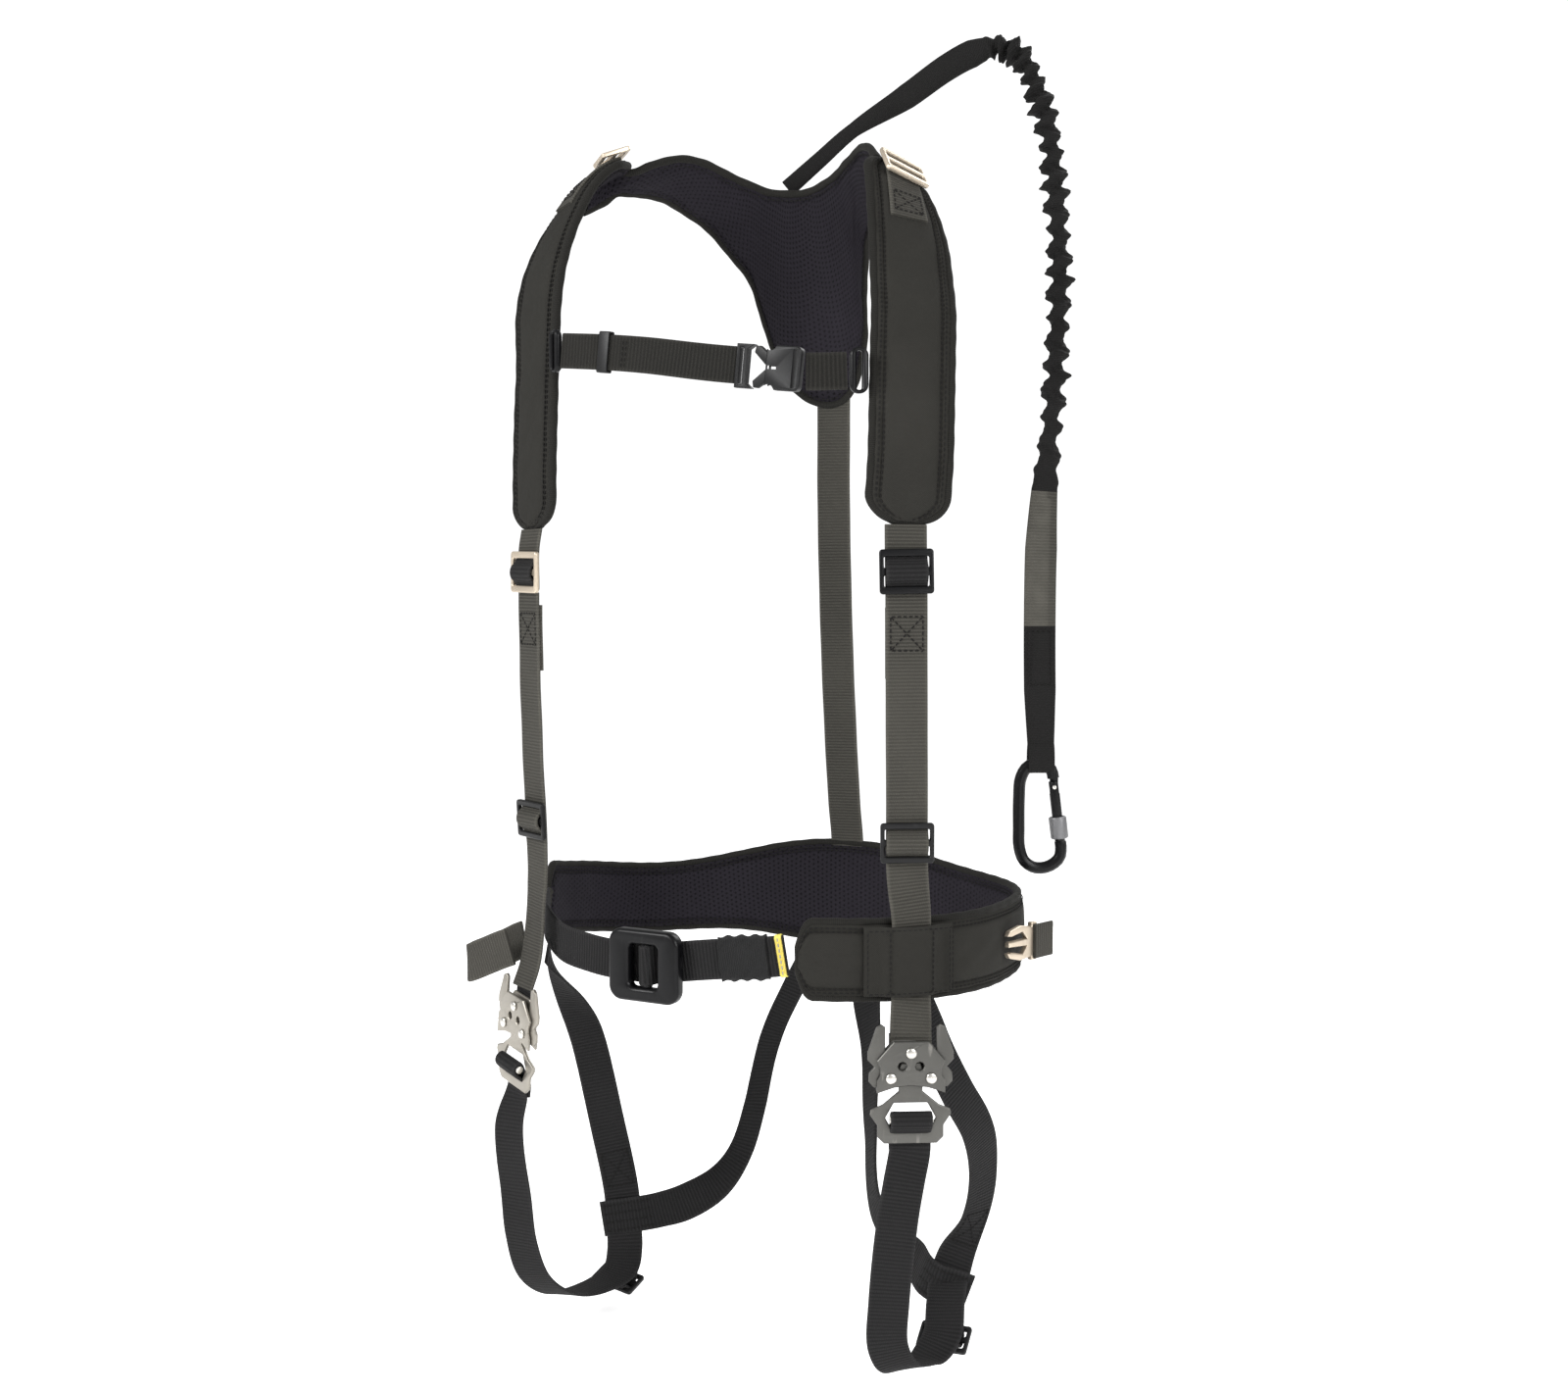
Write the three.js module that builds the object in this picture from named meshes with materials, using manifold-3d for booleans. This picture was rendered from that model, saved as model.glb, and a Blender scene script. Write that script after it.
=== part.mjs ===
// A safety harness vest: padded yoke and waist belt, webbing straps with metal and moulded
// hardware, two quick-connect leg buckles, and a tether that ends in a screw-sleeve carabiner.
// Millimetres. The wearer faces -Y, the wearer's left is +X, and +Z is up.
// The origin lies on the wearer's shoulder line, midway between the shoulders.
import * as THREE from "three";
import { mergeVertices } from "three/addons/utils/BufferGeometryUtils.js";
import Module from "manifold-3d";

const wasm = await Module();
wasm.setup();

// ---- Driving dimensions ----
const gap = 0.3;
const webWidth = 25;
const webThick = 2;

const strapTurn = THREE.MathUtils.degToRad(28);
const padWidth = 46;
const padThick = 10;
const yokeThick = 7;

const waistHalfWidth = 156;
const waistHalfDepth = 115;
const waistPower = 2.4;
const beltMid = -498;
const beltPadThick = 9;
const beltPadHeight = 46;
const lumbarRise = 14;
const lumbarDrop = 12;
const beltPadStart = -104;
const beltPadEnd = 159;
const sleeveCover = 1.2;
const sleeveWidth = 54;
const sleeveHeight = 42;
const sleeveAngle = 131;

const legPlateHalfWidth = 20.3;
const legPlateTop = 16.8;
const legPlateBottom = 14;
const legLayer = 2.4;
const legPlateThick = 2.2;
const legPlay = 0.3;
const leverPivotX = 12;
const leverPivotZ = -5;
const leverClearOfTongue = 0.9;
const rivetRadius = 1.7;
const rivetHole = rivetRadius + 0.35;
const tongueHalfWidth = 7.2;
const maleHalfWidth = 19.8;
const maleBottom = 45;
const maleWindowHalfWidth = 15;
const maleWindowTop = -20.5;
const maleWindowBottom = -38.5;
const maleBarRadius = 2.6;

const slideWidth = 32;
const slideBarHeight = 4.4;
const slideWindow = 6.6;
const slideThick = 3.2;
const slideWallWidth = 2.6;

const chestWebWidth = 22;
const chestBuckleHeight = 26;
const chestBuckleThick = 7;
const chestWall = 1.4;

const beltBuckleWidth = 51;
const beltBuckleHeight = 45;
const beltBuckleThick = 9;
const beltBuckleWindowWidth = 21;
const beltBuckleWindowHeight = 27;
const beltBuckleBarRadius = 3;

const tetherRadius = 10;
const carabinerBar = 4.1;
const gateRadius = 3.5;
const gatePinRadius = 1.4;
const sleeveRadius = 6;
const sleeveLength = 15;

// ---- Finishes ----
const finish = (color, roughness, metalness) => ({ color, roughness, metalness });
const webbing = finish(0x3a3935, 0.85, 0);
const padCloth = finish(0x3b3a36, 0.9, 0);
const lining = finish(0x262429, 0.95, 0);
const elastic = finish(0x2b2a28, 0.9, 0);
const champagne = finish(0xd0c2ac, 0.4, 0.7);
const gunmetal = finish(0x55544f, 0.45, 0.8);
const blackMetal = finish(0x101011, 0.25, 0.6);
const blackPlastic = finish(0x161616, 0.45, 0);
const greyElastic = finish(0x4a4a4c, 0.9, 0);
const steel = finish(0xb9b6ad, 0.3, 0.9);

// ---- Shared tools ----
const vest = new THREE.Group();

function add(parent, name, geometry, look) {
  const mesh = new THREE.Mesh(geometry, new THREE.MeshStandardMaterial(look));
  mesh.name = name;
  parent.add(mesh);
  return mesh;
}

// A closed geometry as a solid that can be cut and joined.
function solid(geometry) {
  const bare = geometry.clone();
  bare.deleteAttribute("normal");
  bare.deleteAttribute("uv");
  const merged = mergeVertices(bare, 1e-4);
  return new wasm.Manifold(
    new wasm.Mesh({
      numProp: 3,
      vertProperties: new Float32Array(merged.attributes.position.array),
      triVerts: new Uint32Array(merged.index.array),
    }),
  );
}

function geometryOf(body) {
  const mesh = body.getMesh();
  const geometry = new THREE.BufferGeometry();
  geometry.setAttribute("position", new THREE.BufferAttribute(new Float32Array(mesh.vertProperties), 3));
  geometry.setIndex(new THREE.BufferAttribute(new Uint32Array(mesh.triVerts), 1));
  geometry.computeVertexNormals();
  return geometry;
}

// A group whose x runs across a piece, y up it and z out of its face.
function placed(origin, across, out) {
  const group = new THREE.Group();
  const z = out.clone().normalize();
  const x = across.clone().addScaledVector(z, -across.dot(z)).normalize();
  const y = z.clone().cross(x);
  group.quaternion.setFromRotationMatrix(new THREE.Matrix4().makeBasis(x, y, z));
  group.position.copy(origin);
  vest.add(group);
  return group;
}

function roundedRectangle(width, height, radius, Kind = THREE.Shape) {
  const shape = new Kind();
  const w = width / 2;
  const h = height / 2;
  shape.moveTo(-w + radius, -h);
  shape.lineTo(w - radius, -h);
  shape.absarc(w - radius, -h + radius, radius, -Math.PI / 2, 0, false);
  shape.lineTo(w, h - radius);
  shape.absarc(w - radius, h - radius, radius, 0, Math.PI / 2, false);
  shape.lineTo(-w + radius, h);
  shape.absarc(-w + radius, h - radius, radius, Math.PI / 2, Math.PI, false);
  shape.lineTo(-w, -h + radius);
  shape.absarc(-w + radius, -h + radius, radius, Math.PI, 1.5 * Math.PI, false);
  return shape;
}

function outline(points, Kind = THREE.Shape) {
  return new Kind(points.map(([x, y]) => new THREE.Vector2(x, y)));
}

function circleHole(x, y, radius) {
  const hole = new THREE.Path();
  hole.absarc(x, y, radius, 0, 2 * Math.PI, false);
  return hole;
}

function movedHole(path, x, y) {
  return new THREE.Path(path.getPoints(2).map((p) => new THREE.Vector2(p.x + x, p.y + y)));
}

// A plate of the shape, with chamfered edges, centred on z = 0.
function plate(shape, holes, thickness, chamfer = 0.4, curveSegments = 4) {
  shape.holes = holes;
  const geometry = new THREE.ExtrudeGeometry(shape, {
    depth: thickness - 2 * chamfer,
    bevelEnabled: chamfer > 0,
    bevelThickness: chamfer,
    bevelSize: chamfer,
    bevelOffset: -chamfer,
    bevelSegments: 1,
    curveSegments,
  });
  geometry.translate(0, 0, chamfer - thickness / 2);
  return geometry;
}

// A solid carried along a route. Each route point is [x, y, z, across x, across y, across z, width];
// the section is a list of [u, v], u from -1 to 1 across the width and v from -1 to 1 through the thickness.
// A squared section stands square to the route; otherwise it keeps the slant of its across direction.
function carried(route, section, thickness, stepsPerSpan, endTaper = 0, squared = true) {
  const centres = new THREE.CatmullRomCurve3(route.map((p) => new THREE.Vector3(p[0], p[1], p[2])));
  const acrosses = new THREE.CatmullRomCurve3(route.map((p) => new THREE.Vector3(p[3], p[4], p[5])));
  const widths = new THREE.SplineCurve(route.map((p, i) => new THREE.Vector2(i, p[6] ?? webWidth)));
  const steps = stepsPerSpan * (route.length - 1);
  const length = centres.getLength();
  const corners = section.length;
  const positions = [];
  for (let i = 0; i <= steps; i++) {
    const t = i / steps;
    const centre = centres.getPoint(t);
    const along = centres.getTangent(t);
    const across = acrosses.getPoint(t);
    if (squared) {
      across.addScaledVector(along, -across.dot(along));
    }
    across.normalize();
    const out = along.clone().cross(across).normalize();
    const toEnd = Math.min(t, 1 - t) * length;
    const round = endTaper > 0 ? endScale(toEnd, endTaper) : 1;
    const half = (widths.getPoint(t).y / 2) * round;
    for (const [u, v] of section) {
      const corner = centre.clone().addScaledVector(across, u * half);
      corner.addScaledVector(out, (v * thickness) / 2);
      positions.push(corner.x, corner.y, corner.z);
    }
  }
  const index = [];
  for (let i = 0; i < steps; i++) {
    for (let k = 0; k < corners; k++) {
      const a = i * corners + k;
      const b = i * corners + ((k + 1) % corners);
      index.push(a, b, b + corners, a, b + corners, a + corners);
    }
  }
  for (let k = 1; k < corners - 1; k++) {
    const last = steps * corners;
    index.push(0, k + 1, k, last, last + k, last + k + 1);
  }
  const geometry = new THREE.BufferGeometry();
  geometry.setAttribute("position", new THREE.Float32BufferAttribute(positions, 3));
  geometry.setIndex(index);
  geometry.computeVertexNormals();
  return geometry;
}

// The width left at a distance from a rounded end: a quarter circle of the taper's radius.
function endScale(distance, taper) {
  const inside = Math.max(0, 1 - distance / taper);
  return Math.max(0.3, Math.sqrt(1 - inside * inside));
}

const flatSection = [
  [-1, -1],
  [1, -1],
  [1, 1],
  [-1, 1],
];
const padSection = [
  [-1, 0],
  [-0.93, -0.7],
  [-0.78, -1],
  [0.78, -1],
  [0.93, -0.7],
  [1, 0],
  [0.93, 0.7],
  [0.78, 1],
  [-0.78, 1],
  [-0.93, 0.7],
];

const strip = (route, steps = 3) => carried(route, flatSection, webThick, steps);

// The frame of a route at a share of its length: origin, across, along and out of the face.
function frameOn(route, t) {
  const centres = new THREE.CatmullRomCurve3(route.map((p) => new THREE.Vector3(p[0], p[1], p[2])));
  const acrosses = new THREE.CatmullRomCurve3(route.map((p) => new THREE.Vector3(p[3], p[4], p[5])));
  const along = centres.getTangent(t);
  const across = acrosses.getPoint(t);
  across.addScaledVector(along, -across.dot(along)).normalize();
  return { origin: centres.getPoint(t), across, along, out: along.clone().cross(across) };
}

// The route seen in a mirror on the plane x = 0, with its across direction kept right-handed.
const mirrored = (route) => route.map((p) => [-p[0], p[1], p[2], p[3], -p[4], -p[5], ...p.slice(6)]);
const sideName = (side) => (side > 0 ? "left" : "right");

// A point on the waist's outline, at an angle from the centre of the back towards the
// wearer's left, moved out of the outline by an offset.
function waist(angle, offset = 0) {
  const a = THREE.MathUtils.degToRad(angle);
  const share = (s) => Math.sign(s) * Math.abs(s) ** (2 / waistPower);
  const x = waistHalfWidth * share(Math.sin(a));
  const y = waistHalfDepth * share(Math.cos(a));
  const px = Math.abs(x / waistHalfWidth) ** (waistPower - 1) / waistHalfWidth;
  const py = Math.abs(y / waistHalfDepth) ** (waistPower - 1) / waistHalfDepth;
  const out = new THREE.Vector3(Math.sign(x) * px, Math.sign(y) * py, 0).normalize();
  return { point: new THREE.Vector3(x, y, 0).addScaledVector(out, offset), out };
}

// ---- Shoulder pads ----
const acrossPad = [Math.cos(strapTurn), Math.sin(strapTurn), 0];
const acrossPadRight = [Math.cos(strapTurn), -Math.sin(strapTurn), 0];
const padRouteLeft = [
  [86, -16, -13, 0.4, 0.86, -0.32, padWidth],
  [93, -23, -23, 0.5, 0.82, -0.28, padWidth],
  [99.5, -31, -36, 0.6, 0.76, -0.24, padWidth],
  [105.5, -39, -51, 0.7, 0.68, -0.19, padWidth],
  [111.5, -48, -68, 0.78, 0.58, -0.14, padWidth],
  [117.5, -59, -90, 0.85, 0.5, -0.09, padWidth],
  [123.5, -71, -111, 0.88, 0.45, -0.05, padWidth],
  [127, -81, -134, ...acrossPad, padWidth],
  [128.8, -87, -165, ...acrossPad, padWidth],
  [129.5, -91, -202, ...acrossPad, padWidth],
  [128, -94, -237, ...acrossPad, padWidth],
];
const padRouteRight = [
  [-103.5, -15.5, 3.5, 0.64, -0.76, 0, padWidth],
  [-111, -22, 0, 0.68, -0.73, 0.03, padWidth],
  [-118, -29.5, -6.5, 0.72, -0.68, 0.06, padWidth],
  [-124.5, -38, -17, 0.77, -0.62, 0.09, padWidth],
  [-130, -47, -32, 0.82, -0.55, 0.1, padWidth],
  [-134.5, -57, -51, 0.86, -0.49, 0.09, padWidth],
  [-136.5, -67, -73, 0.88, -0.45, 0.06, padWidth],
  [-135.5, -75, -96, 0.89, -0.44, 0.03, padWidth],
  [-132.5, -81, -122, ...acrossPadRight, padWidth],
  [-130.5, -87, -160, ...acrossPadRight, padWidth],
  [-129.5, -91, -200, ...acrossPadRight, padWidth],
  [-128, -94, -237, ...acrossPadRight, padWidth],
];
const padRoute = (side) => (side > 0 ? padRouteLeft : padRouteRight);
for (const side of [1, -1]) {
  const geometry = carried(padRoute(side), padSection, padThick, 3, padWidth / 3);
  add(vest, "shoulder_pad_" + sideName(side), geometry, padCloth);
}

// ---- Back yoke: ribs from the neck edge to the arm edge, from the wearer's right to the left ----
const yokeRibs = [
  [-89, -10, 4.5, -107, -5, -11],
  [-83, 0, 9, -103, 11, -9.5],
  [-75, 12, 12.5, -98, 28, -10],
  [-66, 27, 11.5, -92, 44, -15],
  [-57, 39, 6.5, -81, 60, -25],
  [-49, 49, 2, -69, 72, -42],
  [-41, 54, -1.4, -57, 82, -61],
  [-34, 58, -4.7, -51, 89, -86],
  [-26, 60, -6, -45, 94, -108],
  [-18, 60, -7, -34, 97, -132],
  [-10, 60, -7.5, -14, 98, -146],
  [-2, 58, -7.2, 2, 98, -147],
  [6, 54, -6, 13, 97, -139],
  [14, 50, -4, 20, 96, -122],
  [21, 46, -2, 24, 94, -104],
  [28, 41, 0.8, 25, 90, -82],
  [35, 34, 3.5, 28, 84, -62],
  [43, 27, 6, 34, 74, -46],
  [52, 16, 7.7, 46, 58, -34],
  [61, 4, 6, 66, 34, -26],
  [69, -6, 2, 82, 10, -23],
];
const yokeRoute = yokeRibs.map(([nx, ny, nz, ax, ay, az]) => {
  const across = new THREE.Vector3(ax - nx, ay - ny, az - nz);
  return [(nx + ax) / 2, (ny + ay) / 2, (nz + az) / 2, across.x, across.y, across.z, across.length()];
});
add(vest, "yoke_pad", carried(yokeRoute, padSection, yokeThick, 2, 0, false), lining);

// ---- Frames that slide on webbing: two windows and a middle bar ----
function slideFrame(width, barHeight, windowHeight, thickness) {
  const height = 3 * barHeight + 2 * windowHeight;
  const centre = (barHeight + windowHeight) / 2;
  const window = roundedRectangle(width - 2 * slideWallWidth, windowHeight, 1, THREE.Path);
  const holes = [movedHole(window, 0, centre), movedHole(window, 0, -centre)];
  return plate(roundedRectangle(width, height, 2), holes, thickness, 0.6, 2);
}

// Shoulder-top buckles: a frame over the top of each shoulder pad.
const shoulderBuckleShare = { left: 0.09, right: 0.06 };
const shoulderBuckleBar = 3.4;
const shoulderBuckleWindow = 5;
for (const side of [1, -1]) {
  const seat = frameOn(padRoute(side), shoulderBuckleShare[sideName(side)]);
  const lift = padThick / 2 + webThick + slideThick / 2 + 2 * gap;
  const group = placed(seat.origin.addScaledVector(seat.out, lift), seat.across, seat.out);
  const frame = slideFrame(slideWidth + 2, shoulderBuckleBar, shoulderBuckleWindow, slideThick);
  add(group, "shoulder_buckle_" + sideName(side), frame, champagne);
}

// ---- Front straps and their ladder locks and sliders ----
const lockHeight = -266;
const sliderHeight = -426;
const frontUpperLeft = [
  [128.6, -96, -238.6, ...acrossPad],
  [129.5, -98, -252, ...acrossPad],
  [130, -98, -277, ...acrossPad],
];
const frontLowerLeft = [
  [130, -98, -279, ...acrossPad],
  [130, -97, -340, ...acrossPad],
  [129.5, -94.5, -400, ...acrossPad],
  [129, -92, -445, ...acrossPad],
];
const sleeveSeat = waist(sleeveAngle, beltPadThick + webThick / 2 + 3 * gap);
const underSleeve = (height) => [
  sleeveSeat.point.x,
  sleeveSeat.point.y,
  height,
  -sleeveSeat.out.y,
  sleeveSeat.out.x,
  0,
];
const frontLeft = [
  ...frontLowerLeft,
  underSleeve(-472),
  underSleeve(-498),
  underSleeve(-520),
  [134, -98.5, -541, ...acrossPad],
];
const frontRight = [
  ...mirrored(frontLowerLeft),
  [-130, -91, -470, 0.86, -0.5, 0],
  [-132, -91.5, -500, 0.86, -0.5, 0],
  [-134, -94, -522, 0.87, -0.48, 0],
  [-137, -98.5, -537, ...acrossPadRight],
];
const routeAt = (route, height) => {
  let best = 0;
  for (let i = 0; i <= 400; i++) {
    const t = i / 400;
    if (Math.abs(frameOn(route, t).origin.z - height) < Math.abs(frameOn(route, best).origin.z - height)) {
      best = t;
    }
  }
  return best;
};
for (const side of [1, -1]) {
  const upper = side > 0 ? frontUpperLeft : mirrored(frontUpperLeft);
  const lower = side > 0 ? frontLeft : frontRight;
  add(vest, "front_strap_upper_" + sideName(side), strip(upper), webbing);
  add(vest, "front_strap_" + sideName(side), strip(lower), webbing);
  const lift = webThick / 2 + slideThick / 2 + gap;
  const lockSeat = frameOn(upper, 0.72);
  const lock = placed(lockSeat.origin.addScaledVector(lockSeat.out, lift), lockSeat.across, lockSeat.out);
  lock.position.z = lockHeight;
  const lockFrame = slideFrame(slideWidth, slideBarHeight, slideWindow, slideThick);
  add(lock, "ladder_lock_" + sideName(side), lockFrame, side > 0 ? blackMetal : champagne);
  const sliderSeat = frameOn(lower, routeAt(lower, sliderHeight));
  const sliderAt = sliderSeat.origin.addScaledVector(sliderSeat.out, lift + 2 * gap);
  const slider = placed(sliderAt, sliderSeat.across, sliderSeat.out);
  const sliderFrame = slideFrame(slideWidth, slideBarHeight - 0.8, slideWindow, slideThick);
  add(slider, "strap_slider_" + sideName(side), sliderFrame, blackPlastic);
}

// ---- Waist belt ----
const beltPadRoute = [];
const beltPadSpans = 26;
for (let i = 0; i <= beltPadSpans; i++) {
  const angle = beltPadStart + ((beltPadEnd - beltPadStart) * i) / beltPadSpans;
  const { point } = waist(angle, beltPadThick / 2);
  const lumbar = Math.exp(-((angle / 24) ** 2));
  const height = beltPadHeight + (lumbarRise + lumbarDrop) * lumbar;
  const middle = beltMid + ((lumbarRise - lumbarDrop) / 2) * lumbar - 6 * Math.exp(-(((angle + 50) / 26) ** 2));
  const rise = middle + 12 * Math.exp(-(((angle + 115) / 26) ** 2));
  beltPadRoute.push([point.x, point.y, rise, 0, 0, 1, height]);
}
add(vest, "belt_pad", carried(beltPadRoute, padSection, beltPadThick, 1, padWidth / 5), padCloth);

const beltWebOffset = webThick / 2 + gap;
const beltBuckleAngle = 188.5;
const beltBuckleDrop = -509;
const beltBuckleSeat = waist(beltBuckleAngle, beltWebOffset);
const onWaist = (angle, height, offset = beltWebOffset) => {
  const { point } = waist(angle, offset);
  return [point.x, point.y, height, 0, 0, 1];
};
const beltWebLeft = [
  onWaist(161.8, -496, beltPadThick / 2),
  onWaist(166, -498, 3),
  onWaist(172, -500),
  onWaist(180, -504),
  onWaist(186.5, -508),
];
const beltWebRight = [
  onWaist(191, -509),
  onWaist(199, -509),
  onWaist(207, -508),
  onWaist(220, -506),
  onWaist(235, -499),
  onWaist(243, -497),
  onWaist(253, -492),
];
add(vest, "belt_webbing_left", strip(beltWebLeft), webbing);
add(vest, "belt_webbing_right", strip(beltWebRight), webbing);

const buckleLift = webThick / 2 + beltBuckleThick / 2 + gap;
const buckleSeat = beltBuckleSeat.point.clone().setZ(beltBuckleDrop);
const beltBuckle = placed(
  buckleSeat.addScaledVector(beltBuckleSeat.out, buckleLift + 0.6),
  new THREE.Vector3(0, 0, 1).cross(beltBuckleSeat.out),
  beltBuckleSeat.out,
);
const beltWindow = roundedRectangle(beltBuckleWindowWidth, beltBuckleWindowHeight, 3, THREE.Path);
const beltFrame = plate(
  roundedRectangle(beltBuckleWidth, beltBuckleHeight, 9),
  [movedHole(beltWindow, 0, 0)],
  beltBuckleThick,
  1.6,
  5,
);
const barLength = beltBuckleWindowHeight - 2 * gap;
const beltBar = new THREE.CylinderGeometry(beltBuckleBarRadius, beltBuckleBarRadius, barLength, 12);
add(beltBuckle, "belt_buckle_frame", beltFrame, blackMetal);
add(beltBuckle, "belt_buckle_bar", beltBar, blackMetal).position.x = 1.5;

// Keeper: a band of elastic round the belt webbing, open at both sides for it to run through.
const keeperShare = 0.55;
const keeperLength = 24;
const keeperSeat = frameOn(beltWebLeft, keeperShare);
const keeper = placed(keeperSeat.origin, keeperSeat.along, keeperSeat.out);
function bandGeometry(length, height, thickness, wall) {
  const shape = roundedRectangle(height + 2 * wall, thickness + 2 * wall, 1.2);
  const inside = roundedRectangle(height, thickness, 0.4, THREE.Path);
  const band = plate(shape, [movedHole(inside, 0, 0)], length, 0.2, 2);
  band.rotateX(Math.PI / 2);
  band.rotateZ(Math.PI / 2);
  return band;
}
add(keeper, "belt_keeper", bandGeometry(keeperLength, webWidth + 1.6, webThick + 2, 1), greyElastic);

// Sleeve: a cloth cover sewn to the pad's face, over the wearer's left front strap.
const sleeveSpan = 6;
const sleeveRoute = [];
for (let i = -sleeveSpan; i <= sleeveSpan; i++) {
  const rise = webThick + sleeveCover / 2 + 9 * gap;
  const { point } = waist(sleeveAngle + (i * sleeveWidth) / 2 / sleeveSpan / 2.2, beltPadThick + rise);
  sleeveRoute.push([point.x, point.y, beltMid, 0, 0, 1, sleeveHeight]);
}
add(vest, "belt_sleeve_left", carried(sleeveRoute, flatSection, sleeveCover, 1), padCloth);

// Webbing loop at the wearer's right, both ends sewn at the belt.
const sideLoopRoute = [
  [-149.5, -76, -510, 0, 0, 1],
  [-158, -73, -513, 0, 0.1, 1],
  [-172, -71, -520, 0, 0.1, 1],
  [-186, -75, -526, 0, 0.1, 1],
  [-190, -81, -528, 0, 0, 1],
  [-186, -87, -527, 0, 0, 1],
  [-172, -90, -521, 0, 0, 1],
  [-158, -92, -515, 0, 0, 1],
  [-150, -93, -512, 0, 0, 1],
];
add(vest, "side_loop_right", strip(sideLoopRoute), webbing);

// Side buckle at the wearer's left: a comb-shaped catch half with a webbing loop through its bar.
const sideBuckleAngle = 92;
const sideBuckleFlare = 0.4;
const sideBuckleSeat = waist(sideBuckleAngle, beltPadThick + 8);
const sideBuckleOut = sideBuckleSeat.out.clone().applyAxisAngle(new THREE.Vector3(0, 0, 1), -sideBuckleFlare);
const sideBuckle = placed(
  sideBuckleSeat.point.clone().setZ(beltMid),
  sideBuckleOut.clone().cross(new THREE.Vector3(0, 0, 1)),
  sideBuckleOut,
);
const sideComb = outline([
  [-13, -12],
  [-8, -12],
  [-8, -9.5],
  [2, -11],
  [12, -8.5],
  [14, -5.5],
  [10, -5],
  [0, -7],
  [-4, -2.2],
  [13, -1.6],
  [13, 1.6],
  [-4, 2.2],
  [0, 7],
  [10, 5],
  [14, 5.5],
  [12, 8.5],
  [2, 11],
  [-8, 9.5],
  [-8, 12],
  [-13, 12],
]);
add(sideBuckle, "side_buckle_left", plate(sideComb, [], 4, 0.5), champagne);
const sideTail = carried(
  [
    [-27, 0, 1, 0, 1, 0, 22],
    [-22, 0, 3.4, 0, 1, 0, 22],
    [-14, 0, 3.6, 0, 1, 0, 22],
    [-9.5, 0, 3.4, 0, 1, 0, 22],
  ],
  flatSection,
  webThick,
  2,
);
add(sideBuckle, "side_tail_left", sideTail, webbing);

// ---- Back strap ----
const backStrapRoute = [
  [-1, 99, -148.8, 1, 0, 0],
  [-2, 101, -220, 1, 0, 0],
  [-1, 106, -330, 1, 0, 0],
  [1, 114, -430, 1, 0, 0],
  [1.5, 118, -454, 1, 0, 0],
];
add(vest, "back_strap", strip(backStrapRoute, 2), webbing);

// ---- Chest strap ----
const chestRightRoute = [
  [-98.5, -106.3, -127.4, 0.07, 0, 1, chestWebWidth],
  [-62, -113.5, -131, 0.07, 0, 1, chestWebWidth],
  [-30, -118, -135, 0.1, 0, 1, chestWebWidth],
  [2, -121, -140, 0.1, 0, 1, chestWebWidth],
  [15, -121.5, -142, 0.1, 0, 1, chestWebWidth],
];
const chestLeftRoute = [
  [74.8, -119.3, -149.5, 0.03, 0, 1, chestWebWidth],
  [84, -116, -149.5, 0, 0, 1, chestWebWidth],
  [96.5, -109, -149, 0, 0, 1, chestWebWidth],
];
add(vest, "chest_webbing_right", strip(chestRightRoute), webbing);
add(vest, "chest_webbing_left", strip(chestLeftRoute), webbing);

const chestSeat = new THREE.Vector3(53, -121.5, -146.5);
const chestAcross = new THREE.Vector3(1, 0.02, -0.1);
const chestOut = new THREE.Vector3(0.03, -1, 0);
const chestBuckle = placed(chestSeat, chestAcross, chestOut);
const socketLength = 22;
const socketStart = -2;
const socketOuter = plate(
  roundedRectangle(socketLength, chestBuckleHeight, 3),
  [],
  chestBuckleThick,
  0.8,
  3,
);
socketOuter.translate(socketStart + socketLength / 2, 0, 0);
const cavityLength = 15;
const cavity = new THREE.BoxGeometry(
  cavityLength + 1,
  chestBuckleHeight - 2 * chestWall,
  chestBuckleThick - 2 * chestWall,
);
cavity.translate(socketStart + cavityLength / 2 - 0.5, 0, 0);
const sideWindow = new THREE.CylinderGeometry(4, 4, chestBuckleThick + 2, 16);
sideWindow.rotateX(Math.PI / 2);
const sideWindowUp = sideWindow.clone().translate(socketStart + 2.5, chestBuckleHeight / 2 + 0.8, 0);
const sideWindowDown = sideWindow.clone().translate(socketStart + 2.5, -chestBuckleHeight / 2 - 0.8, 0);
const webSlot = new THREE.BoxGeometry(2.6, chestWebWidth + 0.8, chestBuckleThick + 2);
webSlot.translate(socketStart + socketLength - 3.6, 0, 0);
const centreSlot = new THREE.BoxGeometry(6, 2, chestBuckleThick + 2);
centreSlot.translate(socketStart + 4, 0, 0);
let socket = solid(socketOuter);
for (const cutter of [cavity, sideWindowUp, sideWindowDown, webSlot, centreSlot]) {
  socket = socket.subtract(solid(cutter));
}
add(chestBuckle, "chest_buckle_socket", geometryOf(socket), blackPlastic);

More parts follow.
